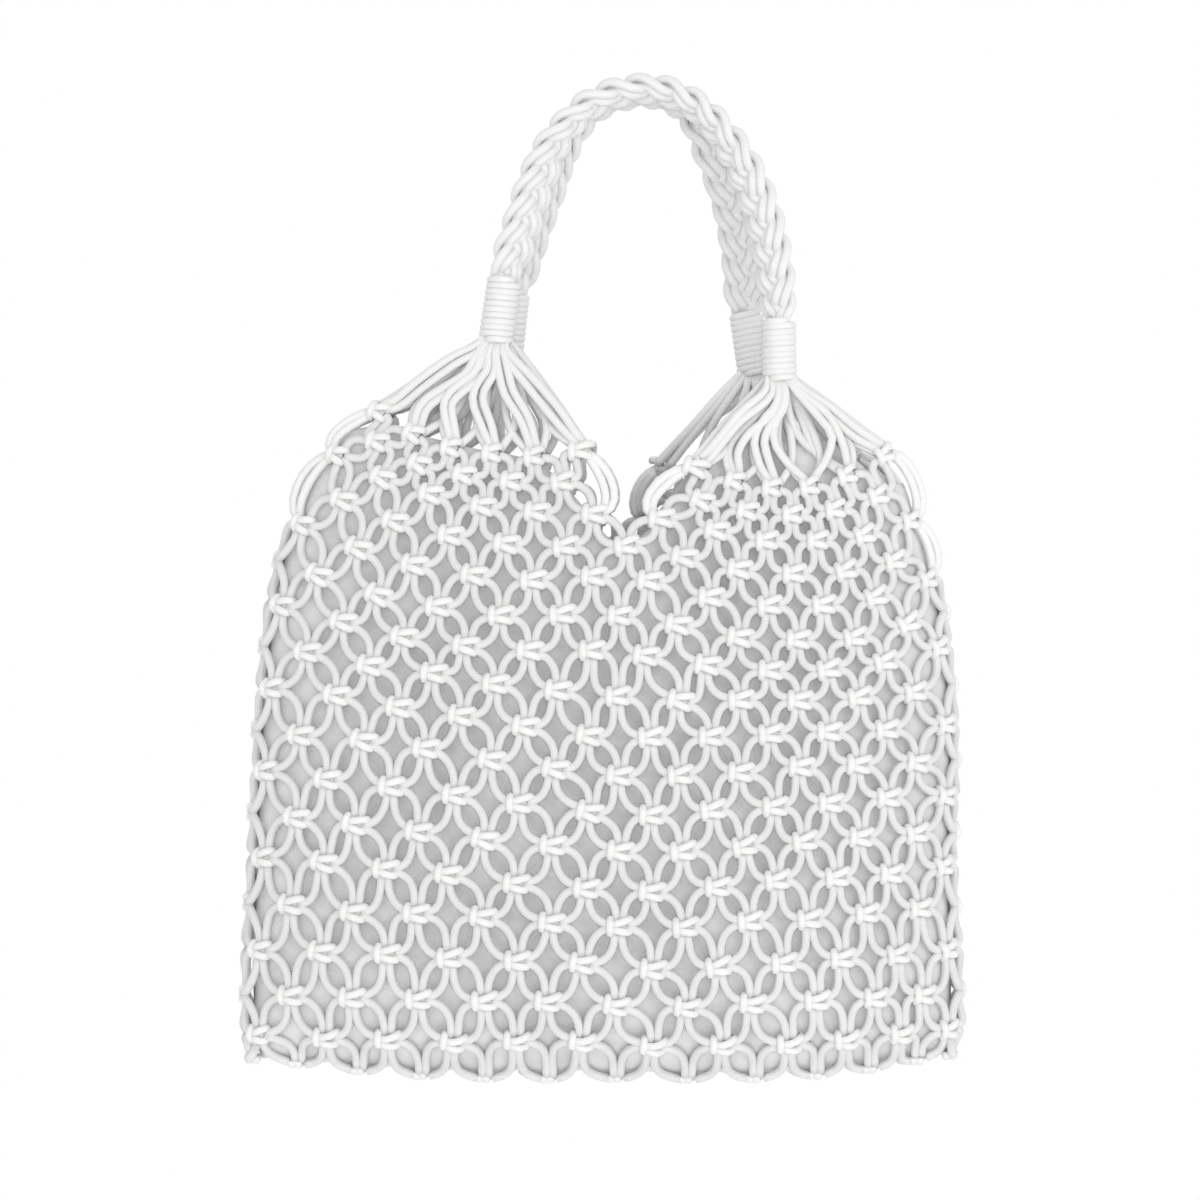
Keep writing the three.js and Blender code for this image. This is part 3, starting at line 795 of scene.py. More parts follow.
@dataclass(frozen=True)
class LiningFinish:
    """Plain woven cotton cloth.

    Attributes:
        name: the material's name.
        colour: of the cloth.
        shade: of its threads' hollows and of duller patches.
        thread: width of one thread, in metres.
        weave_share: height of the weave beside that of the slubs.
        relief: strength of both.
        relief_depth: depth of both, in metres.
        slub: grain of the thread's uneven thickness.
        wear: grain of the duller patches.
        mottle: how strongly those stand out.
        hollow: share of the shade that the weave adds and takes.
        roughness: of the surface.
        specular: strength of its shine.
    """

    name: str
    colour: Colour
    shade: Colour
    thread: float = 0.0007
    weave_share: float = 0.5
    relief: float = 0.3
    relief_depth: float = 0.0003
    slub: Grain = Grain(240.0, 3.0, 0.6)
    wear: Grain = Grain(55.0, 4.0, 0.6)
    mottle: float = 1.8
    hollow: float = 0.12
    roughness: float = 0.95
    specular: float = 0.2

    def material(self) -> bpy.types.Material:
        """Make the material of the woven cloth.

        Returns:
            The finished material.
        """
        graph = NodeGraph(self.name)
        coords = graph.add("ShaderNodeTexCoord")
        lay = graph.add("ShaderNodeSeparateXYZ", {0: coords.outputs["UV"]})
        warp = graph.math("SINE", graph.math("MULTIPLY", lay.outputs["X"], math.pi / self.thread))
        weft = graph.math("SINE", graph.math("MULTIPLY", lay.outputs["Y"], math.pi / self.thread))
        weave = graph.math("MULTIPLY", warp, weft)
        slub = graph.noise(coords.outputs["Object"], self.slub)
        height = graph.math("ADD", graph.math("MULTIPLY", weave, self.weave_share), slub)
        graph.emboss(height, self.relief, self.relief_depth)
        patch = graph.noise(coords.outputs["Object"], self.wear)
        spread = graph.math("MULTIPLY_ADD", patch, self.mottle, (1 - self.mottle) / 2)
        graph.tint(graph.math("MULTIPLY_ADD", weave, self.hollow, spread), self.colour, self.shade)
        graph.surface({"Roughness": self.roughness, "Specular IOR Level": self.specular})
        return graph.material


@dataclass(frozen=True)
class FloorFinish:
    """Plain pale studio floor.

    Attributes:
        name: the material's name.
        colour: of the floor.
        roughness: of its surface.
    """

    name: str = "studio_floor"
    colour: Colour = (0.99, 0.99, 0.99)
    roughness: float = 0.9

    def material(self) -> bpy.types.Material:
        """Make the material of the floor.

        Returns:
            The finished material.
        """
        graph = NodeGraph(self.name)
        graph.surface({"Base Color": (*self.colour, 1.0), "Roughness": self.roughness})
        return graph.material


def dress(piece: bpy.types.Object, material: bpy.types.Material, slot: Slot, *nodes: str) -> None:
    """Give a piece its material, body and nodes.

    Args:
        piece: the finished object.
        material: its material.
        slot: the record's slot for its finish. Not used.
        *nodes: solids that it stands for.
    """
    piece.data.materials.clear()
    piece.data.materials.append(material)
    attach(piece, BODY)
    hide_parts(*nodes)


@dataclass(frozen=True)
class CordRun:
    """A cord between two knots, in millimetres about each knot (right, up, out).

    Attributes:
        leave: where it leaves the upper knot.
        leave_way: the way it sets out.
        enter: where it enters the lower knot.
        enter_way: the way it comes in.
        slack: how fully it bows, as a share of the straight distance.
    """

    leave: Local
    leave_way: Local
    enter: Local
    enter_way: Local
    slack: float = 1.3


OUT_RIGHT, OUT_RIGHT_WAY = (4.5, -0.9, 0.9), (1, -0.1, -0.12)
OUT_LEFT, OUT_LEFT_WAY = (-3.2, -0.9, 0.9), (-1, -0.1, -0.12)
OUT_FOOT_RIGHT, OUT_FOOT_LEFT, OUT_FOOT_WAY = (2.2, -2.8, 0.2), (-1.0, -2.8, 0.2), (0, -1, -0.1)
IN_LEFT, IN_LEFT_WAY = (-3.0, 0.9, 0.9), (1, -0.1, 0.12)
IN_RIGHT, IN_RIGHT_WAY = (5.2, 0.9, 0.9), (-1, -0.1, 0.12)
IN_TOP_LEFT, IN_TOP_RIGHT, IN_TOP_WAY = (-0.1, 2.8, 0.3), (3.2, 2.8, 0.3), (0, -1, 0.1)
RIGHT_RUNS = (
    CordRun(OUT_RIGHT, OUT_RIGHT_WAY, IN_TOP_LEFT, IN_TOP_WAY),
    CordRun(OUT_FOOT_RIGHT, OUT_FOOT_WAY, IN_LEFT, IN_LEFT_WAY),
)
LEFT_RUNS = (
    CordRun(OUT_LEFT, OUT_LEFT_WAY, IN_TOP_RIGHT, IN_TOP_WAY),
    CordRun(OUT_FOOT_LEFT, OUT_FOOT_WAY, IN_RIGHT, IN_RIGHT_WAY),
)
CORD_RUNS: dict[Link, tuple[CordRun, ...]] = {
    Link.RIGHT: RIGHT_RUNS,
    Link.LEFT: LEFT_RUNS,
    Link.TIP_RIGHT: RIGHT_RUNS,
    Link.TIP_LEFT: LEFT_RUNS,
    Link.LOOP_RIGHT: (
        CordRun(OUT_RIGHT, (1, -0.45, -0.1), IN_RIGHT, (-1, -0.45, 0.1), 1.15),
        CordRun((4.2, -2.0, 0.2), (0.8, -1, 0), (4.4, 2.6, 0.3), (-0.8, -1, 0), 0.9),
    ),
    Link.LOOP_LEFT: (
        CordRun(OUT_LEFT, (-1, -0.45, -0.1), IN_LEFT, (1, -0.45, 0.1), 1.15),
        CordRun((-2.6, -2.0, 0.2), (-0.8, -1, 0), (-2.4, 2.6, 0.3), (0.8, -1, 0), 0.9),
    ),
}


@dataclass
class NetPlan:
    """Where every knot of the net sits, all round the bag, and how it is turned.

    Attributes:
        form: the bag's surface.
        stray: how far knots sit off the even grid, in millimetres.
        turn: how far knots are turned, in degrees.
        ring: ring column of each knot.
        row: row of each knot.
        frames: place of each knot.
        tips: where the last knots' cords reach the seam.
        number: each knot's number, by its place.
    """

    form: BagForm
    stray: float = 0.5
    turn: float = 4.0
    ring: Array = field(init=False)
    row: Array = field(init=False)
    frames: Frames = field(init=False)
    tips: Frames = field(init=False)
    number: dict[tuple[int, int], int] = field(init=False)

    def __post_init__(self) -> None:
        """Set out the knots, row by row."""
        places = []
        for row in range(KNOT_ROWS):
            offset = 0.0 if row % 2 == 0 else HALF_COLUMN
            free = FREE_PLACES.get(row, ())
            places += [(ring + offset, row) for ring in range(RING) if ring + offset not in free]
        self.ring = np.array([ring for ring, _ in places])
        self.row = np.array([row for _, row in places], dtype=float)
        self.number = {self.key(ring, row): i for i, (ring, row) in enumerate(places)}
        self.frames = self.stray_from(self.form.frames(self.ring, self.row), np.random.default_rng(SEED))
        tip_ring = np.arange(RING) + HALF_COLUMN
        self.tips = self.form.frames(tip_ring, np.full(RING, float(SEAM_ROW)))

    @staticmethod
    def key(ring: float, row: int) -> tuple[int, int]:
        """A knot's place as whole numbers, with the ring closed."""
        return int(round(ring * 2)) % (2 * RING), row

    def stray_from(self, frames: Frames, rng: np.random.Generator) -> Frames:
        """The frames moved and turned a little, as hand-tied knots are.

        Args:
            frames: the even grid.
            rng: seeded random numbers.

        Returns:
            The grid as tied.
        """
        count = len(frames.origin)
        shift = rng.normal(0, self.stray * MM, (count, 2))
        angle = np.radians(rng.normal(0, self.turn, count))[:, None]
        origin = frames.origin + frames.right * shift[:, :1] + frames.up * shift[:, 1:]
        right = frames.right * np.cos(angle) + frames.up * np.sin(angle)
        up = frames.up * np.cos(angle) - frames.right * np.sin(angle)
        return Frames(origin, right, up, frames.out, frames.pitch)

    def links(self) -> dict[Link, list[tuple[int, int]]]:
        """Find which knots are joined.

        Returns:
            Pairs of knots, or of a knot and a tip, for each way that cords run.
        """
        pairs: dict[Link, list[tuple[int, int]]] = {link: [] for link in Link}
        for i, (ring, row) in enumerate(zip(self.ring, self.row.astype(int))):
            for step, near, loop, tip in (
                (HALF_COLUMN, Link.RIGHT, Link.LOOP_RIGHT, Link.TIP_RIGHT),
                (-HALF_COLUMN, Link.LEFT, Link.LOOP_LEFT, Link.TIP_LEFT),
            ):
                below = self.number.get(self.key(ring + step, row + 1))
                if row == KNOT_ROWS - 1:
                    pairs[tip].append((i, int(round(ring + step - HALF_COLUMN)) % RING))
                elif below is not None:
                    pairs[near].append((i, below))
                else:
                    pairs[loop].append((i, self.number[self.key(ring, row + 2)]))
        return pairs

    def owned_by(self, side: Side) -> Array:
        """Which knots belong to a face: the left side's to the front and the right side's to the back."""
        behind = (self.ring >= RIGHT_SIDE) & (self.ring < LEFT_SIDE)
        return behind if side is Side.BACK else ~behind


@dataclass(frozen=True)
class KnotTurn:
    """One stretch of cord that shows in a knot.

    Attributes:
        points: what its middle passes, in millimetres about the knot (right, up, out).
        stations: points along the cord.
        upright: whether it runs up and down rather than across.
        tone: 0 to 1; the lower it is, the more shade is painted on the cord.
    """

    points: tuple[Local, ...]
    stations: int
    upright: bool = False
    tone: float = 1.0


# A knot's upright turn, its upper and its lower bar, and the cord seen between the bars, whose low tone
# paints shade on it.
KNOT_TURNS = (
    KnotTurn((
        (-3.2, 4.0, -1.0), (-3.4, 3.0, 2.2), (-3.5, 0.0, 4.4), (-3.4, -3.0, 2.2), (-3.2, -4.0, -1.0),
    ), 7, upright=True),
    KnotTurn(((-2.8, 0.4, 0.4), (-0.9, 1.3, 3.2), (2.7, 2.4, 4.0), (6.0, 3.6, 2.6), (7.3, 3.4, -0.6)), 6),
    KnotTurn((
        (-2.8, -0.8, 0.4), (-0.9, -1.6, 3.2), (2.4, -2.3, 4.0), (5.2, -2.9, 2.6), (6.4, -2.7, -0.6),
    ), 6),
    KnotTurn(((-3.0, -0.2, 0.4), (1.0, 0.0, 1.3), (5.4, 0.1, 0.4)), 4, tone=0.3),
)


@dataclass
class KnottedNet:
    """One face of the net: flat knots joined by bowed pairs of cords.

    Attributes:
        side: the face.
        plan: where the knots sit.
        finish: the cord's finish.
        cord_radius: in millimetres.
        knot_radius: of the cord where it is pulled tight in a knot, in millimetres.
        full_pitch: column width at which a knot has its full width, in millimetres.
        narrowest: share of its width that a knot keeps in the narrowest columns.
        side_rise: share of their height that the knots at the bag's sides keep, pressed flat by its weight.
        stations: points along each cord between two knots.
        full_reach: distance between knots below which the cords, cut to one length, bow more, in millimetres.
        fullest: how many times farther they bow at most.
        uneven: how much the bows differ, as a share.
        slack_tone: of the cords half-way between two knots, where they lie back and most shade is painted.
        taut_tone: of the cords next to a knot, with less painted shade.
        loop_tone: of the cords that pass a free place, with no painted recess shade.
        seam_stations: points along each turn of cord that closes the bottom.
        seam_apart: from a place in the seam to each of its two turns, in millimetres.
        seam_reach: how far a turn goes to the front and the back, in millimetres.
        seam_rise: how far above the seam it ends, in millimetres.
        seam_drop: how far down it goes from there, in millimetres.
    """

    side: Side
    plan: NetPlan
    finish: CottonFinish
    cord_radius: float = 2.25
    knot_radius: float = 1.95
    full_pitch: float = 30.0
    narrowest: float = 0.7
    side_rise: float = 0.6
    stations: int = 8
    full_reach: float = 17.0
    fullest: float = 1.3
    uneven: float = 0.07
    slack_tone: float = 0.2
    taut_tone: float = 0.65
    loop_tone: float = 1.0
    seam_stations: int = 9
    seam_apart: float = 1.7
    seam_reach: float = 4.6
    seam_rise: float = 1.6
    seam_drop: float = 2.6

    def node(self) -> str:
        """The solid that this face stands for."""
        return f"net_{self.side.name.lower()}"

    def build(self) -> bpy.types.Object:
        """Make the face and dress it.

        Returns:
            The face as one object.
        """
        bundle = CordBundle()
        self.tie_knots(bundle)
        self.join_knots(bundle, np.random.default_rng(SEED + int(self.side.value)))
        if self.side is Side.FRONT:
            self.close_seam(bundle)
        piece = bundle.build(f"{self.node()}_cords")
        dress(piece, self.finish.material(), Slot.CORD, self.node())
        return piece

    def tie_knots(self, bundle: CordBundle) -> None:
        """Add the cords that show in each knot.

        Args:
            bundle: where the cords go.
        """
        owned = self.plan.owned_by(self.side)
        frames = self.plan.frames.pick(owned)
        narrow = np.clip(frames.pitch / (self.full_pitch * MM), self.narrowest, 1.0)[:, None, None]
        at_side = np.isin(np.mod(self.plan.ring[owned], RING), (RIGHT_SIDE, LEFT_SIDE))
        rise = np.where(at_side, self.side_rise, 1.0)[:, None, None]
        for turn in KNOT_TURNS:
            line = spline(np.array(turn.points), turn.stations) * MM
            paths = (
                frames.origin[:, None]
                + frames.right[:, None] * line[None, :, :1] * narrow
                + frames.up[:, None] * line[None, :, 1:2]
                + frames.out[:, None] * line[None, :, 2:] * rise
            )
            across = frames.right if turn.upright else frames.up
            bundle.add(paths, self.knot_radius * MM, across[:, None], turn.tone)

    def join_knots(self, bundle: CordBundle, rng: np.random.Generator) -> None:
        """Add the bowed cords from each knot to those below it.

        Args:
            bundle: where the cords go.
            rng: seeded random numbers.
        """
        owned = self.plan.owned_by(self.side)
        from_middle = np.linspace(-1, 1, self.stations)
        # Painted shade: the bowed cords' tone sinks from taut_tone at the knots to slack_tone half-way, where
        # they lie back.
        bowed_tone = self.slack_tone + (self.taut_tone - self.slack_tone) * from_middle**2
        for link, pairs in self.plan.links().items():
            index = np.array([pair for pair in pairs if owned[pair[0]]], dtype=int).reshape(-1, 2)
            above = self.plan.frames.pick(index[:, 0])
            to_seam = link in (Link.TIP_LEFT, Link.TIP_RIGHT)
            below = (self.plan.tips if to_seam else self.plan.frames).pick(index[:, 1])
            tone = self.loop_tone if link in (Link.LOOP_LEFT, Link.LOOP_RIGHT) else bowed_tone
            for run in CORD_RUNS[link]:
                start, end = above.place(run.leave), below.place(run.enter)
                reach = np.linalg.norm(end - start, axis=1, keepdims=True)
                spare = np.clip(self.full_reach * MM / reach, 1, self.fullest)
                bow = run.slack * reach * spare * (1 + rng.normal(0, self.uneven, reach.shape))
                start_way = unit(above.way(run.leave_way)) * bow
                end_way = unit(below.way(run.enter_way)) * bow
                paths = hermite(start, start_way, end, end_way, self.stations)
                bundle.add(paths, self.cord_radius * MM, above.out[:, None], tone)

    def close_seam(self, bundle: CordBundle) -> None:
        """Add the short turns of cord that close the front to the back under the bottom edge.

        Args:
            bundle: where the cords go.
        """
        ring = np.concatenate([[-HALF_COLUMN], np.arange(LAST_COLUMN) + HALF_COLUMN, [RIGHT_SIDE]])
        seam = self.plan.form.point(ring, np.full(len(ring), float(SEAM_ROW)))
        angle = np.linspace(0, math.pi, self.seam_stations)
        for shift in (-self.seam_apart, self.seam_apart):
            paths = np.zeros((len(ring), len(angle), 3))
            paths[:, :, 0] = seam[:, :1] + shift * MM
            paths[:, :, 1] = -self.seam_reach * MM * np.cos(angle)
            paths[:, :, 2] = seam[:, 2:] + self.seam_rise * MM - self.seam_drop * MM * np.sin(angle)
            bundle.add(paths, self.cord_radius * MM, RIGHTWARD)


@dataclass
class Collar:
    """Cord wound tightly round a gathered bundle.

    Attributes:
        place: where it sits.
        finish: the cord's finish.
        radius: from the bundle's middle to the wound cord's middle, in millimetres.
        cord_radius: in millimetres.
        turns: how often the cord goes round.
        turn_stations: points along the cord in each turn.
        wander: how far the cord strays along the collar, as a share of its radius.
        wander_rate: how often it strays there and back in a turn.
        wander_start: largest phase at which that begins, in radians.
        end_inset: from the collar's ends to the first and last turns, as a share of the cord's radius.
        tuck: share of the radius by which each end of the cord is tucked in.
        tuck_turns: turns in which it comes out to the full radius.
    """

    place: CollarPlace
    finish: CottonFinish
    radius: float = 7.0
    cord_radius: float = 1.85
    turns: float = 10.5
    turn_stations: int = 22
    wander: float = 0.04
    wander_rate: float = 0.37
    wander_start: float = 6.0
    end_inset: float = 0.4
    tuck: float = 0.45
    tuck_turns: float = 0.25

    def build(self) -> bpy.types.Object:
        """Make the collar and dress it.

        Returns:
            The collar as one object.
        """
        foot = self.place.point(self.place.foot)
        top = self.place.point(self.place.top)
        axis = unit(top - foot)
        length = np.linalg.norm(top - foot)
        first = unit(np.cross(axis, BACKWARD))
        second = np.cross(axis, first)
        share = np.linspace(0, 1, int(self.turns * self.turn_stations))
        angle = share * self.turns * 2 * math.pi
        phase = np.random.default_rng(SEED + self.place.first_ring).uniform(0, self.wander_start)
        cord = self.cord_radius * MM
        stray = self.wander * np.sin(angle * self.wander_rate + phase) * cord
        from_end = np.minimum(share, 1 - share) * self.turns
        reach = self.radius * MM * (1 - self.tuck * (1 - smoothstep(from_end, 0, self.tuck_turns)))
        inside = cord * self.end_inset
        rise = inside + (length - 2 * inside) * share + stray
        path = (
            foot + axis * rise[:, None]
            + first * (reach * np.cos(angle))[:, None]
            + second * (reach * np.sin(angle))[:, None]
        )
        bundle = CordBundle()
        bundle.add(path[None], cord, axis[None, None])
        piece = bundle.build(f"collar_{self.place.name}_winding")
        dress(piece, self.finish.material(), Slot.WRAP, f"collar_{self.place.name}")
        return piece


@dataclass
class Fan:
    """The loose cords from the top knots of a peak up into their collar, four from each knot.

    Two of the four show, along the courses of the fan's strands, and two lie behind them.

    Attributes:
        place: the collar.
        plan: where the knots sit.
        finish: the cord's finish.
        cord_radius: in millimetres.
        sides: facets round each cord.
        stations: points along each cord.
        squeezed: share of its thickness that a cord keeps in the collar.
        squeezed_length: how far below the collar it has its full thickness, in millimetres.
        bundle_reach: half the width of the bundle inside the collar, in millimetres.
        bundle_depth: how far the cords that show stand before the bundle's middle, in millimetres.
        tucked_in: how far they reach up into the collar, in millimetres.
        pressed: share of their distance that a strand's cords keep in the collar.
        parted_at: share of the way down where they have it all.
        drawn_in: share of it that they lose towards the knot.
        drawn_from: share of the way down where that begins.
        entry: where a strand's middle comes into its knot.
        core_entry: where the left and the right one of the cords behind come in, seen from outside.
        core_parting: how far the two cords behind bow apart, in millimetres.
        core_parting_at: share of the way down where they are farthest apart.
        core_depth: how far they bow in, in millimetres.
        wave: how far the slack cords wander, in millimetres.
        shown_tone: of the front's cords that show; below 1 it paints some shade on them.
        core_tone: of the front's cords behind them, which it paints in some shade too.
        back_tone: of all cords at the back, with no painted recess shade.
        back_bow: how far the back's strands bow to the right, between those of the front, in millimetres.
    """

    place: CollarPlace
    plan: NetPlan
    finish: CottonFinish
    cord_radius: float = 2.2
    sides: int = 10
    stations: int = 20
    squeezed: float = 0.7
    squeezed_length: float = 16.0
    bundle_reach: float = 5.2
    bundle_depth: float = 2.6
    tucked_in: float = 3.0
    pressed: float = 0.35
    parted_at: float = 0.35
    drawn_in: float = 0.25
    drawn_from: float = 0.7
    entry: Local = (1.5, 2.8, 0.3)
    core_entry: tuple[Local, Local] = ((-1.6, 2.0, -0.8), (4.6, 2.0, -0.8))
    core_parting: float = 7.0
    core_parting_at: float = 0.76
    core_depth: float = 3.0
    wave: float = 0.8
    shown_tone: float = 0.7
    core_tone: float = 0.8
    back_tone: float = 1.0
    back_bow: float = 5.0

    def model(self) -> CollarPlace:
        """The front collar on the same hand, whose strands this fan follows."""
        hand = self.place.name.split("_")[1]
        return next(place for place in COLLARS if place.name == f"front_{hand}")

    def at_edge(self, knot: int) -> bool:
        """Whether a knot is the first or last of the six."""
        return knot in (0, KNOTS_PER_FAN - 1)

    def knots(self, place: CollarPlace) -> Frames:
        """The six top knots that a collar gathers, from the left as seen from the front."""
        rings = [place.first_ring + place.ring_step * i for i in range(KNOTS_PER_FAN)]
        return self.plan.frames.pick(np.array([self.plan.number[self.plan.key(ring, 0)] for ring in rings]))

    def start(self, knot: int, depth: float) -> Array:
        """Where a knot's cords begin, inside the collar, at a depth before the bundle's middle.

        Args:
            knot: which of the six knots.
            depth: in millimetres.

        Returns:
            The point, in metres.
        """
        foot = self.place.point(self.place.foot)
        upward = unit(self.place.point(self.place.top) - foot)
        spread = 2 * knot / (KNOTS_PER_FAN - 1) - 1
        offset = np.array([spread * self.bundle_reach, self.place.side.value * depth, 0])
        return foot + MM * (upward * self.tucked_in + offset)

    def end(self, knot: int, place: CollarPlace) -> Array:
        """Where a strand's middle comes into one of a collar's knots."""
        return self.knots(place).place(self.entry)[knot]

    def shown_line(self, strand: FanStrand) -> Array:
        """Middle line of a strand, fitted between this collar and its knot.

        Args:
            strand: its course at the front.

        Returns:
            stations x 3, in metres, with its depth still to be set.
        """
        both = (self.place, self.model())
        foot, model_foot = (MM * np.array([place.foot[0], 0, place.foot[1]]) for place in both)
        knot, model_knot = (self.end(strand.knot, place) for place in both)
        via = MM * np.array([(x, 0, z) for x, z in strand.points])
        share = np.clip((model_foot[2] - via[:, 2:]) / (model_foot[2] - model_knot[2]), 0, 1)
        via += (foot - model_foot) * (1 - share) + (knot - model_knot) * share
        if self.place.side is Side.BACK and not self.at_edge(strand.knot):
            via[:, 0] += MM * self.back_bow * np.sin(math.pi * share[:, 0])
        return spline(np.vstack([self.start(strand.knot, self.bundle_depth), via, knot]), self.stations)

    def hang(self, line: Array, start: Array, end: Array, bow: float, rng: np.random.Generator) -> Array:
        """A line set at its depth, with a little wander.

        Args:
            line: stations x 3.
            start: its upper end.
            end: its lower end.
            bow: how far it bows out from the bag, in millimetres.
            rng: seeded random numbers.

        Returns:
            stations x 3.
        """
        t = np.linspace(0, 1, self.stations)
        hump = np.sin(math.pi * t)
        line = line.copy()
        wander = MM * self.wave * rng.normal() * hump
        line[:, 0] += wander * np.sin(2 * math.pi * t + rng.uniform(0, math.pi))
        line[:, 1] = start[1] + (end[1] - start[1]) * smoothstep(t, 0, 1)
        line[:, 1] += MM * self.place.side.value * bow * hump
        return line

    def shown_cords(self, rng: np.random.Generator) -> list[Array]:
        """Lines of the cords that show.

        Args:
            rng: seeded random numbers.

        Returns:
            One line for each cord, stations x 3.
        """
        t = np.linspace(0, 1, self.stations)
        apart = self.pressed + (1 - self.pressed) * smoothstep(t, 0, self.parted_at)
        apart = apart - self.drawn_in * smoothstep(t, self.drawn_from, 1)
        lines = []
        for strand in LEFT_FAN if self.place.name.endswith("left") else RIGHT_FAN:
            middle = self.shown_line(strand)
            start = self.start(strand.knot, self.bundle_depth)
            end = self.end(strand.knot, self.place)
            way = unit(np.gradient(middle[:, [0, 2]], axis=0))
            for place in strand.places:
                line = middle.copy()
                line[:, 0] -= MM * place * apart * way[:, 1]
                line[:, 2] += MM * place * apart * way[:, 0]
                lines.append(self.hang(line, start, end, strand.lift, rng))
        return lines

    def core_aside(self, knot: int, way: int) -> float:
        """How far a cord behind bows to the right.

        None bows out past the fan's edge, and at the back those of the edge knots don't bow at all.

        Args:
            knot: which of the six knots.
            way: -1 for the left and 1 for the right one of its two cords.

        Returns:
            Millimetres.
        """
        if self.place.side is Side.BACK:
            return 0.0 if self.at_edge(knot) else way * self.core_parting + self.back_bow / 2
        outward = self.at_edge(knot) and (knot == 0) == (way < 0)
        return 0.0 if outward else way * self.core_parting

    def core_cords(self, rng: np.random.Generator) -> list[Array]:
        """Lines of the cords that lie behind them.

        Args:
            rng: seeded random numbers.

        Returns:
            One line for each cord, stations x 3.
        """
        lines = []
        entries = self.core_entry if self.place.side is Side.FRONT else self.core_entry[::-1]
        for way, entry in zip((-1, 1), entries):
            for knot, end in enumerate(self.knots(self.place).place(entry)):
                start = self.start(knot, -self.bundle_depth)
                aside = MM * np.array([self.core_aside(knot, way), 0, 0])
                middle = start + (end - start) * self.core_parting_at + aside
                line = spline(np.vstack([start, middle, end]), self.stations)
                lines.append(self.hang(line, start, end, -self.core_depth, rng))
        return lines

    def build(self) -> bpy.types.Object:
        """Make the fan and dress it.

        Returns:
            The fan as one object.
        """
        rng = np.random.default_rng(FAN_SEED + FAN_SEED_STEP * self.place.first_ring)
        bundle = CordBundle(self.sides)
        at_front = self.place.side is Side.FRONT
        # The front's tones below 1 paint shade on its fan cords.
        for lines, tone in (
            (self.shown_cords(rng), self.shown_tone if at_front else self.back_tone),
            (self.core_cords(rng), self.core_tone if at_front else self.back_tone),
        ):
            paths = np.array(lines)
            below = (paths[:, :1, 2] - paths[:, :, 2]) / MM
            thick = self.squeezed + (1 - self.squeezed) * smoothstep(below, 0, self.squeezed_length)
            bundle.add(paths, self.cord_radius * MM * thick, BACKWARD, tone)
        piece = bundle.build(f"fan_{self.place.name}_cords")
        dress(piece, self.finish.material(), Slot.CORD, f"fan_{self.place.name}")
        return piece


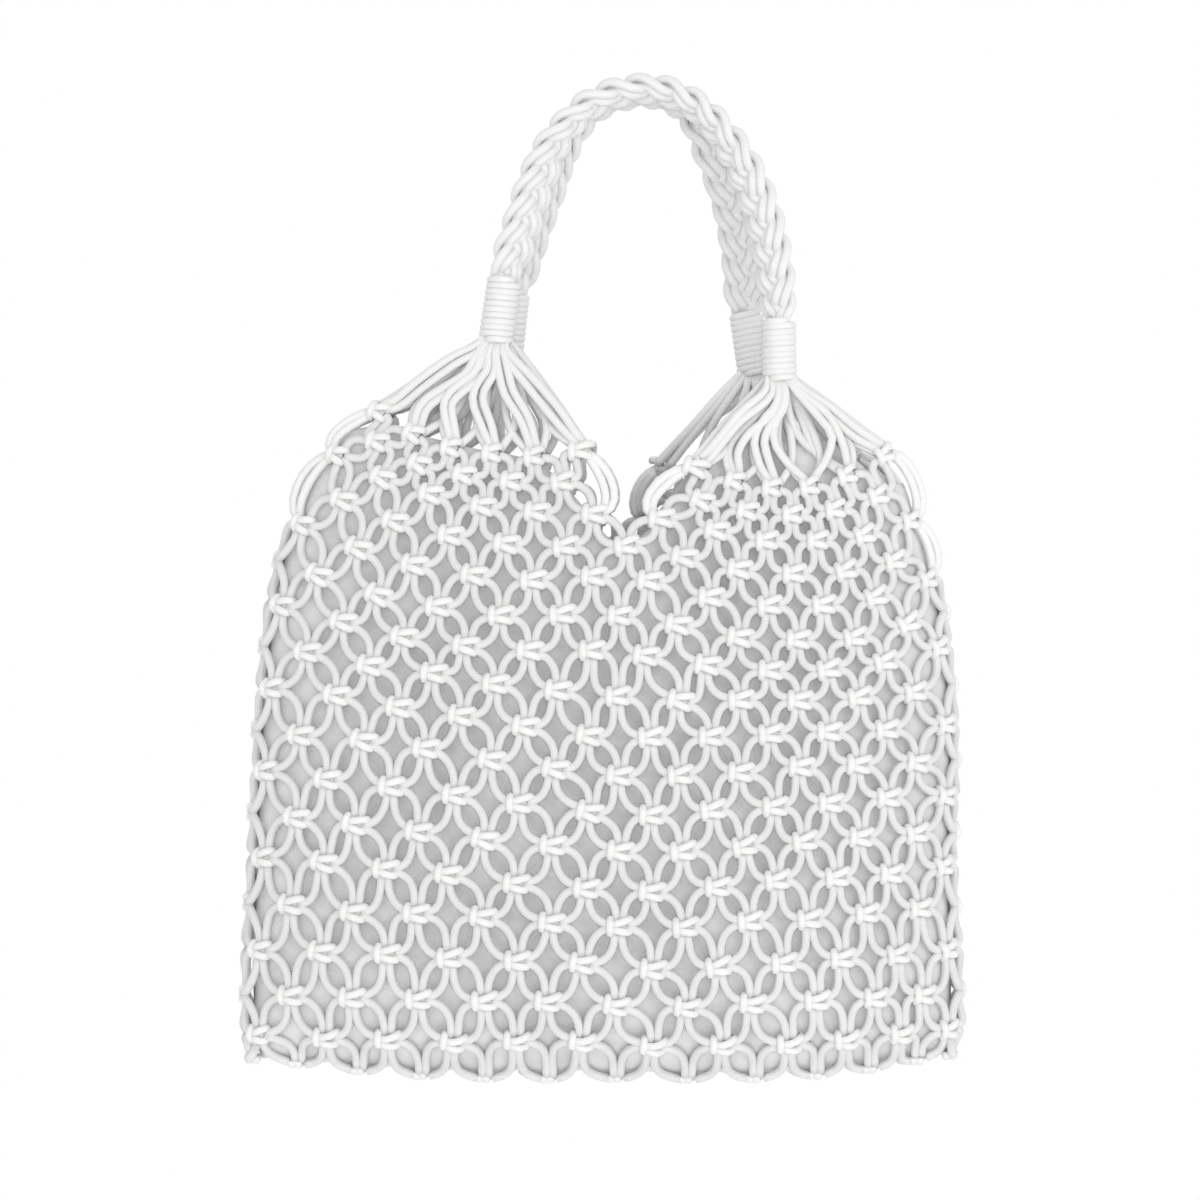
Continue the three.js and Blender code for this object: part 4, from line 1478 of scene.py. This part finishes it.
@dataclass
class Handle:
    """A flat braid of three strands, each a bundle of four cords.

    Attributes:
        route: its middle line.
        finish: the cord's finish.
        top_standoff: of the handle's top from the bag's middle plane, in millimetres.
        begins: how far up its collars it begins and ends, as a share of their height.
        turn_heights: heights between which the band turns from its legs' angle to its top's, in millimetres.
        stations: points along the braid.
        strands: how many are braided.
        sway: how far a strand's middle goes to each side, in millimetres.
        dive: how far it goes over and under, in millimetres.
        period: length in which a strand crosses the band and back, in millimetres.
        cord_radius: in millimetres.
        cord_step: from a strand's middle to its left and right cords, in millimetres.
        layer_step: from its middle to its upper and lower cords, in millimetres.
        closed: share of its width that the braid keeps in the collars.
        opening: distances from its ends between which it opens to the full width, in millimetres.
        bunched: share of a strand's own width that stays when the braid is closed.
    """

    route: HandleRoute
    finish: CottonFinish
    top_standoff: float = 13.0
    begins: float = 0.6
    turn_heights: tuple[float, float] = (-45.0, 4.0)
    stations: int = 190
    strands: int = 3
    sway: float = 4.7
    dive: float = 3.1
    period: float = 42.0
    cord_radius: float = 2.3
    cord_step: float = 3.9
    layer_step: float = 1.7
    closed: float = 0.42
    opening: tuple[float, float] = (9.0, 24.0)
    bunched: float = 0.4

    def turn_at(self, line: Array) -> Array:
        """Find how far the band's outer edge is turned out.

        Args:
            line: points of the handle's middle.

        Returns:
            The angle at each point, as a column, in radians.
        """
        left, top, right = self.route.turns
        leg = np.where(np.arange(len(line)) < np.argmax(line[:, 2]), left, right)
        return np.radians(leg + (top - leg) * smoothstep(line[:, 2] / MM, *self.turn_heights))[:, None]

    def middle_line(self) -> Array:
        """Lay the middle of the handle.

        Returns:
            Evenly spaced points, from inside one collar to inside the other.
        """
        left, right = (place for place in COLLARS if place.side is self.route.side)
        tops = [place.point(place.top) for place in (left, right)]
        feet = [place.point(place.foot) for place in (left, right)]
        ends = [foot * (1 - self.begins) + top * self.begins for foot, top in zip(feet, tops)]
        points = [ends[0], tops[0]]
        for x, z in self.route.points:
            share = float(smoothstep(z, left.top[1], 0))
            standoff = COLLAR_STANDOFF + (self.top_standoff - COLLAR_STANDOFF) * share
            points.append(MM * np.array([x, self.route.side.value * standoff, z]))
        points += [tops[1], ends[1]]
        return spline(np.array(points), self.stations)

    def build(self) -> bpy.types.Object:
        """Make the handle and dress it.

        Returns:
            The handle as one object.
        """
        line = self.middle_line()
        tangent = unit(np.gradient(line, axis=0))
        outward = unit(np.cross(BACKWARD, tangent))
        depth = np.cross(tangent, outward)
        turn = self.turn_at(line)
        wide = outward * np.cos(turn) - self.route.side.value * depth * np.sin(turn)
        thick = np.cross(tangent, wide)
        run = lengths_along(line) / MM
        from_end = np.minimum(run, run[-1] - run)
        width = (self.closed + (1 - self.closed) * smoothstep(from_end, *self.opening))[:, None]
        bunch = self.bunched + (1 - self.bunched) * width
        bundle = CordBundle()
        for strand in range(self.strands):
            phase = (2 * math.pi * (run / self.period + strand / self.strands))[:, None]
            across = self.sway * np.sin(phase) * width
            over = self.dive * np.sin(2 * phase) * width
            middle = line + MM * (wide * across + thick * over)
            lean = unit(np.gradient(middle, axis=0))
            beside = unit(np.cross(thick, lean))
            facing = np.cross(lean, beside)
            paths = []
            for column, layer in ((-1, 0), (1, 0), (0, -1), (0, 1)):
                offset = beside * column * self.cord_step + facing * layer * self.layer_step
                paths.append(middle + MM * offset * bunch)
            bundle.add(np.array(paths), self.cord_radius * MM, facing[None])
        piece = bundle.build(f"handle_{self.route.name}_braid")
        dress(piece, self.finish.material(), Slot.BRAID, f"handle_{self.route.name}")
        return piece


class Fold(NamedTuple):
    """Folds of one size: their length from crest to crest, in metres, and their height, in millimetres."""

    length: float
    height: float


FOLDS = (Fold(0.07, 0.5), Fold(0.05, 0.4), Fold(0.033, 0.3), Fold(0.024, 0.22), Fold(0.017, 0.16))


@dataclass
class Lining:
    """A plain cloth pouch inside the net, open at the top.

    Attributes:
        form: the bag's surface.
        finish: the cloth's finish.
        columns: points round the pouch.
        bands: points from the hem down to the floor.
        column_width: mean width of a ring column, in metres.
        wall: thickness, in millimetres.
        inset: from the net's middle, in millimetres.
        fold_room: how much farther inside the folds need, in millimetres.
        slack_inset: how much farther inside the cloth hangs half-way down, in millimetres.
        side_inset: inset at the sides, in millimetres.
        corner_inset: the same at the floor's corners, in millimetres.
        taper_row: row below which the corners draw in.
        floor_row: row of the pouch's floor where it hangs in the seam.
        scallop: rows by which the floor rises between those places.
        floor_narrowing: share of its depth that the pouch keeps just above the fold at its floor.
        floor_drop: how far below the last band that is, in millimetres.
        crease_drop: how far below that the fold itself is, in millimetres.
        rim_row: row of the hem under the peaks.
        peak_rise: how far the hem stands up behind the left and the right fans, in millimetres.
        peak_lean: how far it leans in there, in millimetres.
        peak_reach: half the width of that rise, in columns.
        peak_edge: how abruptly it ends on both sides.
        peak_fade: how soon it fades out downwards.
        notch_dip: rows by which the hem dips at the notches.
        side_dip: rows by which it dips at the sides.
        side_reach: half the width of that dip, in columns.
        fold_sets: sets of folds of each size, each with a slant of its own.
        fold_slant: least and largest slant of the folds, in metres from the hem to the floor.
        hem_folds: share of their height that the folds have at the hem.
        fold_fade: how late they fade out above the floor.
        merge: distance below which points at the floor are joined, in millimetres.
        flat: width and length of the cloth before it was folded and sewn, in metres. Not used.
    """

    form: BagForm
    finish: LiningFinish
    columns: int = 240
    bands: int = 80
    column_width: float = 0.0315
    wall: float = 1.2
    inset: float = 4.6
    fold_room: float = 0.6
    slack_inset: float = 5.0
    side_inset: float = 5.6
    corner_inset: float = 9.0
    taper_row: float = 12.0
    floor_row: float = 16.85
    scallop: float = 0.1
    floor_narrowing: float = 0.45
    floor_drop: float = 0.6
    crease_drop: float = 0.2
    rim_row: float = 0.35
    peak_rise: tuple[float, float] = (6.0, 29.0)
    peak_lean: tuple[float, float] = (2.0, 8.5)
    peak_reach: float = 2.0
    peak_edge: int = 4
    peak_fade: int = 6
    notch_dip: float = 2.6
    side_dip: float = 0.5
    side_reach: float = 1.3
    fold_sets: int = 2
    fold_slant: tuple[float, float] = (0.1, 0.35)
    hem_folds: float = 0.3
    fold_fade: int = 12
    merge: float = 0.05
    flat: tuple[float, float] = (0.36, 0.56)

    def hem_row(self, ring: Array) -> Array:
        """Find the hem before it rises behind the fans.

        Args:
            ring: ring columns.

        Returns:
            The hem's row at each column.
        """
        from_notch = np.abs(front_column(ring) - NOTCH_COLUMN)
        from_side = NOTCH_COLUMN + HALF_COLUMN - from_notch
        notch = self.notch_dip * np.exp(-(from_notch**2))
        return self.rim_row + notch + self.side_dip * np.exp(-((from_side / self.side_reach) ** 2))

    def peak_share(self, ring: Array, down: Array) -> Array:
        """How fully the cloth takes part in the hem's rise behind the fans, 0 to 1.

        Args:
            ring: ring columns.
            down: share of the way from the hem to the floor.

        Returns:
            bands x columns.
        """
        from_peak = np.abs(np.abs(front_column(ring) - NOTCH_COLUMN) - PEAK_FROM_NOTCH)
        return np.exp(-((from_peak / self.peak_reach) ** self.peak_edge)) * (1 - down) ** self.peak_fade

    def wrinkles(self, around: Array, down: Array) -> Array:
        """Soft folds of the cloth, in millimetres.

        Args:
            around: metres round the pouch.
            down: share of the way from the hem to the floor.

        Returns:
            How far each point stands in or out.
        """
        rng = np.random.default_rng(FOLD_SEED)
        relief = np.zeros(np.broadcast(around, down).shape)
        for fold in FOLDS:
            for _ in range(self.fold_sets):
                slant = rng.uniform(*self.fold_slant) * rng.choice((-1, 1))
                phase = rng.uniform(0, 2 * math.pi)
                relief += fold.height * np.sin(2 * math.pi * (around + slant * down) / fold.length + phase)
        return relief * (self.hem_folds + (1 - self.hem_folds) * down**2) * (1 - down**self.fold_fade)

    def outer_face(self) -> Array:
        """The pouch's outer face, from the hem down to the fold at its floor.

        Returns:
            rows x columns x 3, in metres.
        """
        ring = np.arange(self.columns) * RING / self.columns - HALF_COLUMN
        down = np.linspace(0, 1, self.bands)[:, None]
        start = self.hem_row(ring)[None]
        floor = self.floor_row - self.scallop * np.cos(math.pi * ring) ** 2
        row = start + (floor - start) * down
        taper = np.clip((row - self.taper_row) / (self.floor_row - self.taper_row), 0, 1)
        side_inset = self.side_inset + (self.corner_inset - self.side_inset) * taper
        around = np.broadcast_to(ring * self.column_width, row.shape)
        peak = self.peak_share(ring, down)
        on_left = front_column(ring) < NOTCH_COLUMN
        inset = self.inset + self.fold_room + self.slack_inset * np.sin(math.pi * down)
        inset = inset - self.wrinkles(around, down) + np.where(on_left, *self.peak_lean) * peak
        points = self.form.point(
            np.broadcast_to(ring, row.shape).ravel(), row.ravel(), inset.ravel(), side_inset.ravel(),
        )
        points = points.reshape(self.bands, self.columns, 3)
        points[:, :, 2] += MM * np.where(on_left, *self.peak_rise) * peak
        closing = points[-1].copy()
        closing[:, 1] *= self.floor_narrowing
        closing[:, 2] -= self.floor_drop * MM
        crease = closing.copy()
        crease[:, 1] = 0
        crease[:, 2] -= self.crease_drop * MM
        return np.concatenate([points, closing[None], crease[None]])

    def one_layer(self) -> bpy.types.Object:
        """Make the cloth as a single layer.

        Returns:
            The cloth as one object, with metres of cloth for its UV.
        """
        points = self.outer_face()
        rows = len(points)
        drop = np.zeros(points.shape[:2])
        drop[1:] = np.cumsum(np.linalg.norm(np.diff(points, axis=0), axis=2), axis=0)
        number = np.arange(rows * self.columns).reshape(rows, self.columns)
        beyond = np.roll(number, -1, axis=1)
        faces = np.stack([number[:-1], number[1:], beyond[1:], beyond[:-1]], axis=2)
        step = self.column_width * RING / self.columns
        u_here = np.broadcast_to(np.arange(self.columns) * step, (rows - 1, self.columns))
        u_there = u_here + step
        v_high, v_low = drop[:-1], drop[1:]
        uvs = np.stack([
            np.stack([u_here, v_high], axis=2), np.stack([u_here, v_low], axis=2),
            np.stack([u_there, np.roll(v_low, -1, axis=1)], axis=2),
            np.stack([u_there, np.roll(v_high, -1, axis=1)], axis=2),
        ], axis=2)
        return object_from_arrays(
            "lining_pouch", points.reshape(-1, 3), faces.reshape(-1),
            np.full(faces.size // QUAD, QUAD), uvs.reshape(-1, 2),
        )

    def thicken(self, piece: bpy.types.Object) -> None:
        """Join the cloth at its floor, turn it to face out and give it its thickness.

        Args:
            piece: the single layer.
        """
        bpy.ops.object.select_all(action="DESELECT")
        bpy.context.view_layer.objects.active = piece
        piece.select_set(True)
        bpy.ops.object.mode_set(mode="EDIT")
        bpy.ops.mesh.select_all(action="SELECT")
        bpy.ops.mesh.remove_doubles(threshold=self.merge * MM)
        bpy.ops.mesh.normals_make_consistent(inside=False)
        bpy.ops.object.mode_set(mode="OBJECT")
        wall = piece.modifiers.new("wall", "SOLIDIFY")
        wall.thickness = self.wall * MM
        wall.offset = -1
        bpy.ops.object.modifier_apply(modifier=wall.name)

    def build(self) -> bpy.types.Object:
        """Make the pouch and dress it.

        Returns:
            The pouch as one object.
        """
        piece = self.one_layer()
        self.thicken(piece)
        dress(piece, self.finish.material(), Slot.LINING, "lining")
        return piece


@dataclass(frozen=True)
class Lamp:
    """A square soft lamp.

    Attributes:
        name: the lamp's name.
        place: where it stands, in metres.
        size: of its side, in metres.
        watts: its power.
    """

    name: str
    place: Local
    size: float
    watts: float

    def build(self, target: Local) -> None:
        """Set up the lamp.

        Args:
            target: the point that it faces, in metres.
        """
        data = bpy.data.lights.new(self.name, "AREA")
        data.size = self.size
        data.energy = self.watts
        lamp = bpy.data.objects.new(self.name, data)
        lamp.location = self.place
        x, y, z = np.array(target) - np.array(self.place)
        lamp.rotation_euler = (math.atan2(math.hypot(x, y), -z), 0.0, math.atan2(y, x) - math.pi / 2)
        bpy.context.scene.collection.objects.link(lamp)


LAMPS = (
    Lamp("key", (0.9, -1.35, 0.15), 0.7, 5),
    Lamp("front", (-0.02, -2.6, -0.2), 0.4, 21),
    Lamp("rear", (-0.5, 1.6, 0.2), 0.9, 10),
)


@dataclass
class Studio:
    """Floor, light and camera.

    Attributes:
        centre: what the camera looks at, in metres.
        distance: of the camera from there, in metres.
        view_width: width of the picture at the bag's front, in metres.
        front: how far the bag's front stands before its middle, in metres.
        sensor: width of the camera's sensor, in millimetres.
        far: distance beyond which the camera shows nothing, in metres.
        air: strength of the white surround.
        floor_height: in metres, low enough to stay under the picture from the front.
        floor_size: length of its side, in metres.
    """

    centre: Local = (-0.024, 0.0, -0.2485)
    distance: float = 2.4
    view_width: float = 0.6
    front: float = 0.02
    sensor: float = 36.0
    far: float = 60.0
    air: float = 1.0
    floor_height: float = -1.3
    floor_size: float = 8.0

    def build(self) -> None:
        """Set up the whole studio."""
        self.lay_floor()
        self.set_air()
        for lamp in LAMPS:
            lamp.build(self.centre)
        self.set_camera()

    def lay_floor(self) -> None:
        """A wide plain floor under the bag."""
        bpy.ops.object.select_all(action="DESELECT")
        bpy.ops.mesh.primitive_plane_add(size=self.floor_size, location=(0, 0, self.floor_height))
        floor = bpy.context.object
        floor.name = "studio_floor"
        bpy.ops.object.transform_apply(location=True, rotation=True, scale=True)
        floor.data.materials.append(FloorFinish().material())

    def set_air(self) -> None:
        """A white surround."""
        world = bpy.data.worlds.new("studio_air")
        bpy.context.scene.world = world
        world.use_nodes = True
        background = world.node_tree.nodes["Background"]
        background.inputs["Color"].default_value = WHITE
        background.inputs["Strength"].default_value = self.air

    def set_camera(self) -> None:
        """A level camera straight before the bag."""
        data = bpy.data.cameras.new("view")
        data.sensor_width = self.sensor
        data.lens = self.sensor * (self.distance - self.front) / self.view_width
        data.clip_end = self.far
        camera = bpy.data.objects.new("view", data)
        camera.location = (self.centre[0], self.centre[1] - self.distance, self.centre[2])
        camera.rotation_euler = (math.pi / 2, 0, 0)
        bpy.context.scene.collection.objects.link(camera)
        bpy.context.scene.camera = camera


def main() -> None:
    """Build the bag piece by piece."""
    logging.basicConfig(level=logging.INFO, format="%(name)s: %(message)s")
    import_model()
    cord = CottonFinish("net_cord", colour=(0.72, 0.718, 0.714), shade=(0.5, 0.498, 0.495))
    braid = CottonFinish("braid_cord", colour=(0.66, 0.658, 0.655), shade=(0.55, 0.548, 0.545))
    wrap = CottonFinish(
        "winding_cord", colour=(0.67, 0.668, 0.665), shade=(0.58, 0.578, 0.575), plait_length=0.0016,
    )
    cloth = LiningFinish("lining_cloth", colour=(0.71, 0.71, 0.708), shade=(0.52, 0.52, 0.518))
    Studio().build()
    plan = NetPlan(BagForm(side_reach=6.2))
    pieces = [KnottedNet(side, plan, cord).build() for side in Side]
    pieces.append(Lining(BagForm(), cloth).build())
    for place in COLLARS:
        pieces.append(Fan(place, plan, cord).build())
        pieces.append(Collar(place, wrap).build())
    pieces += [Handle(route, braid).build() for route in HANDLES]
    for piece in pieces:
        piece.data.calc_loop_triangles()
        log.info("%s: %d triangles", piece.name, len(piece.data.loop_triangles))
    bpy.context.scene.view_settings.view_transform = "Standard"


if __name__ == "__main__":
    main()
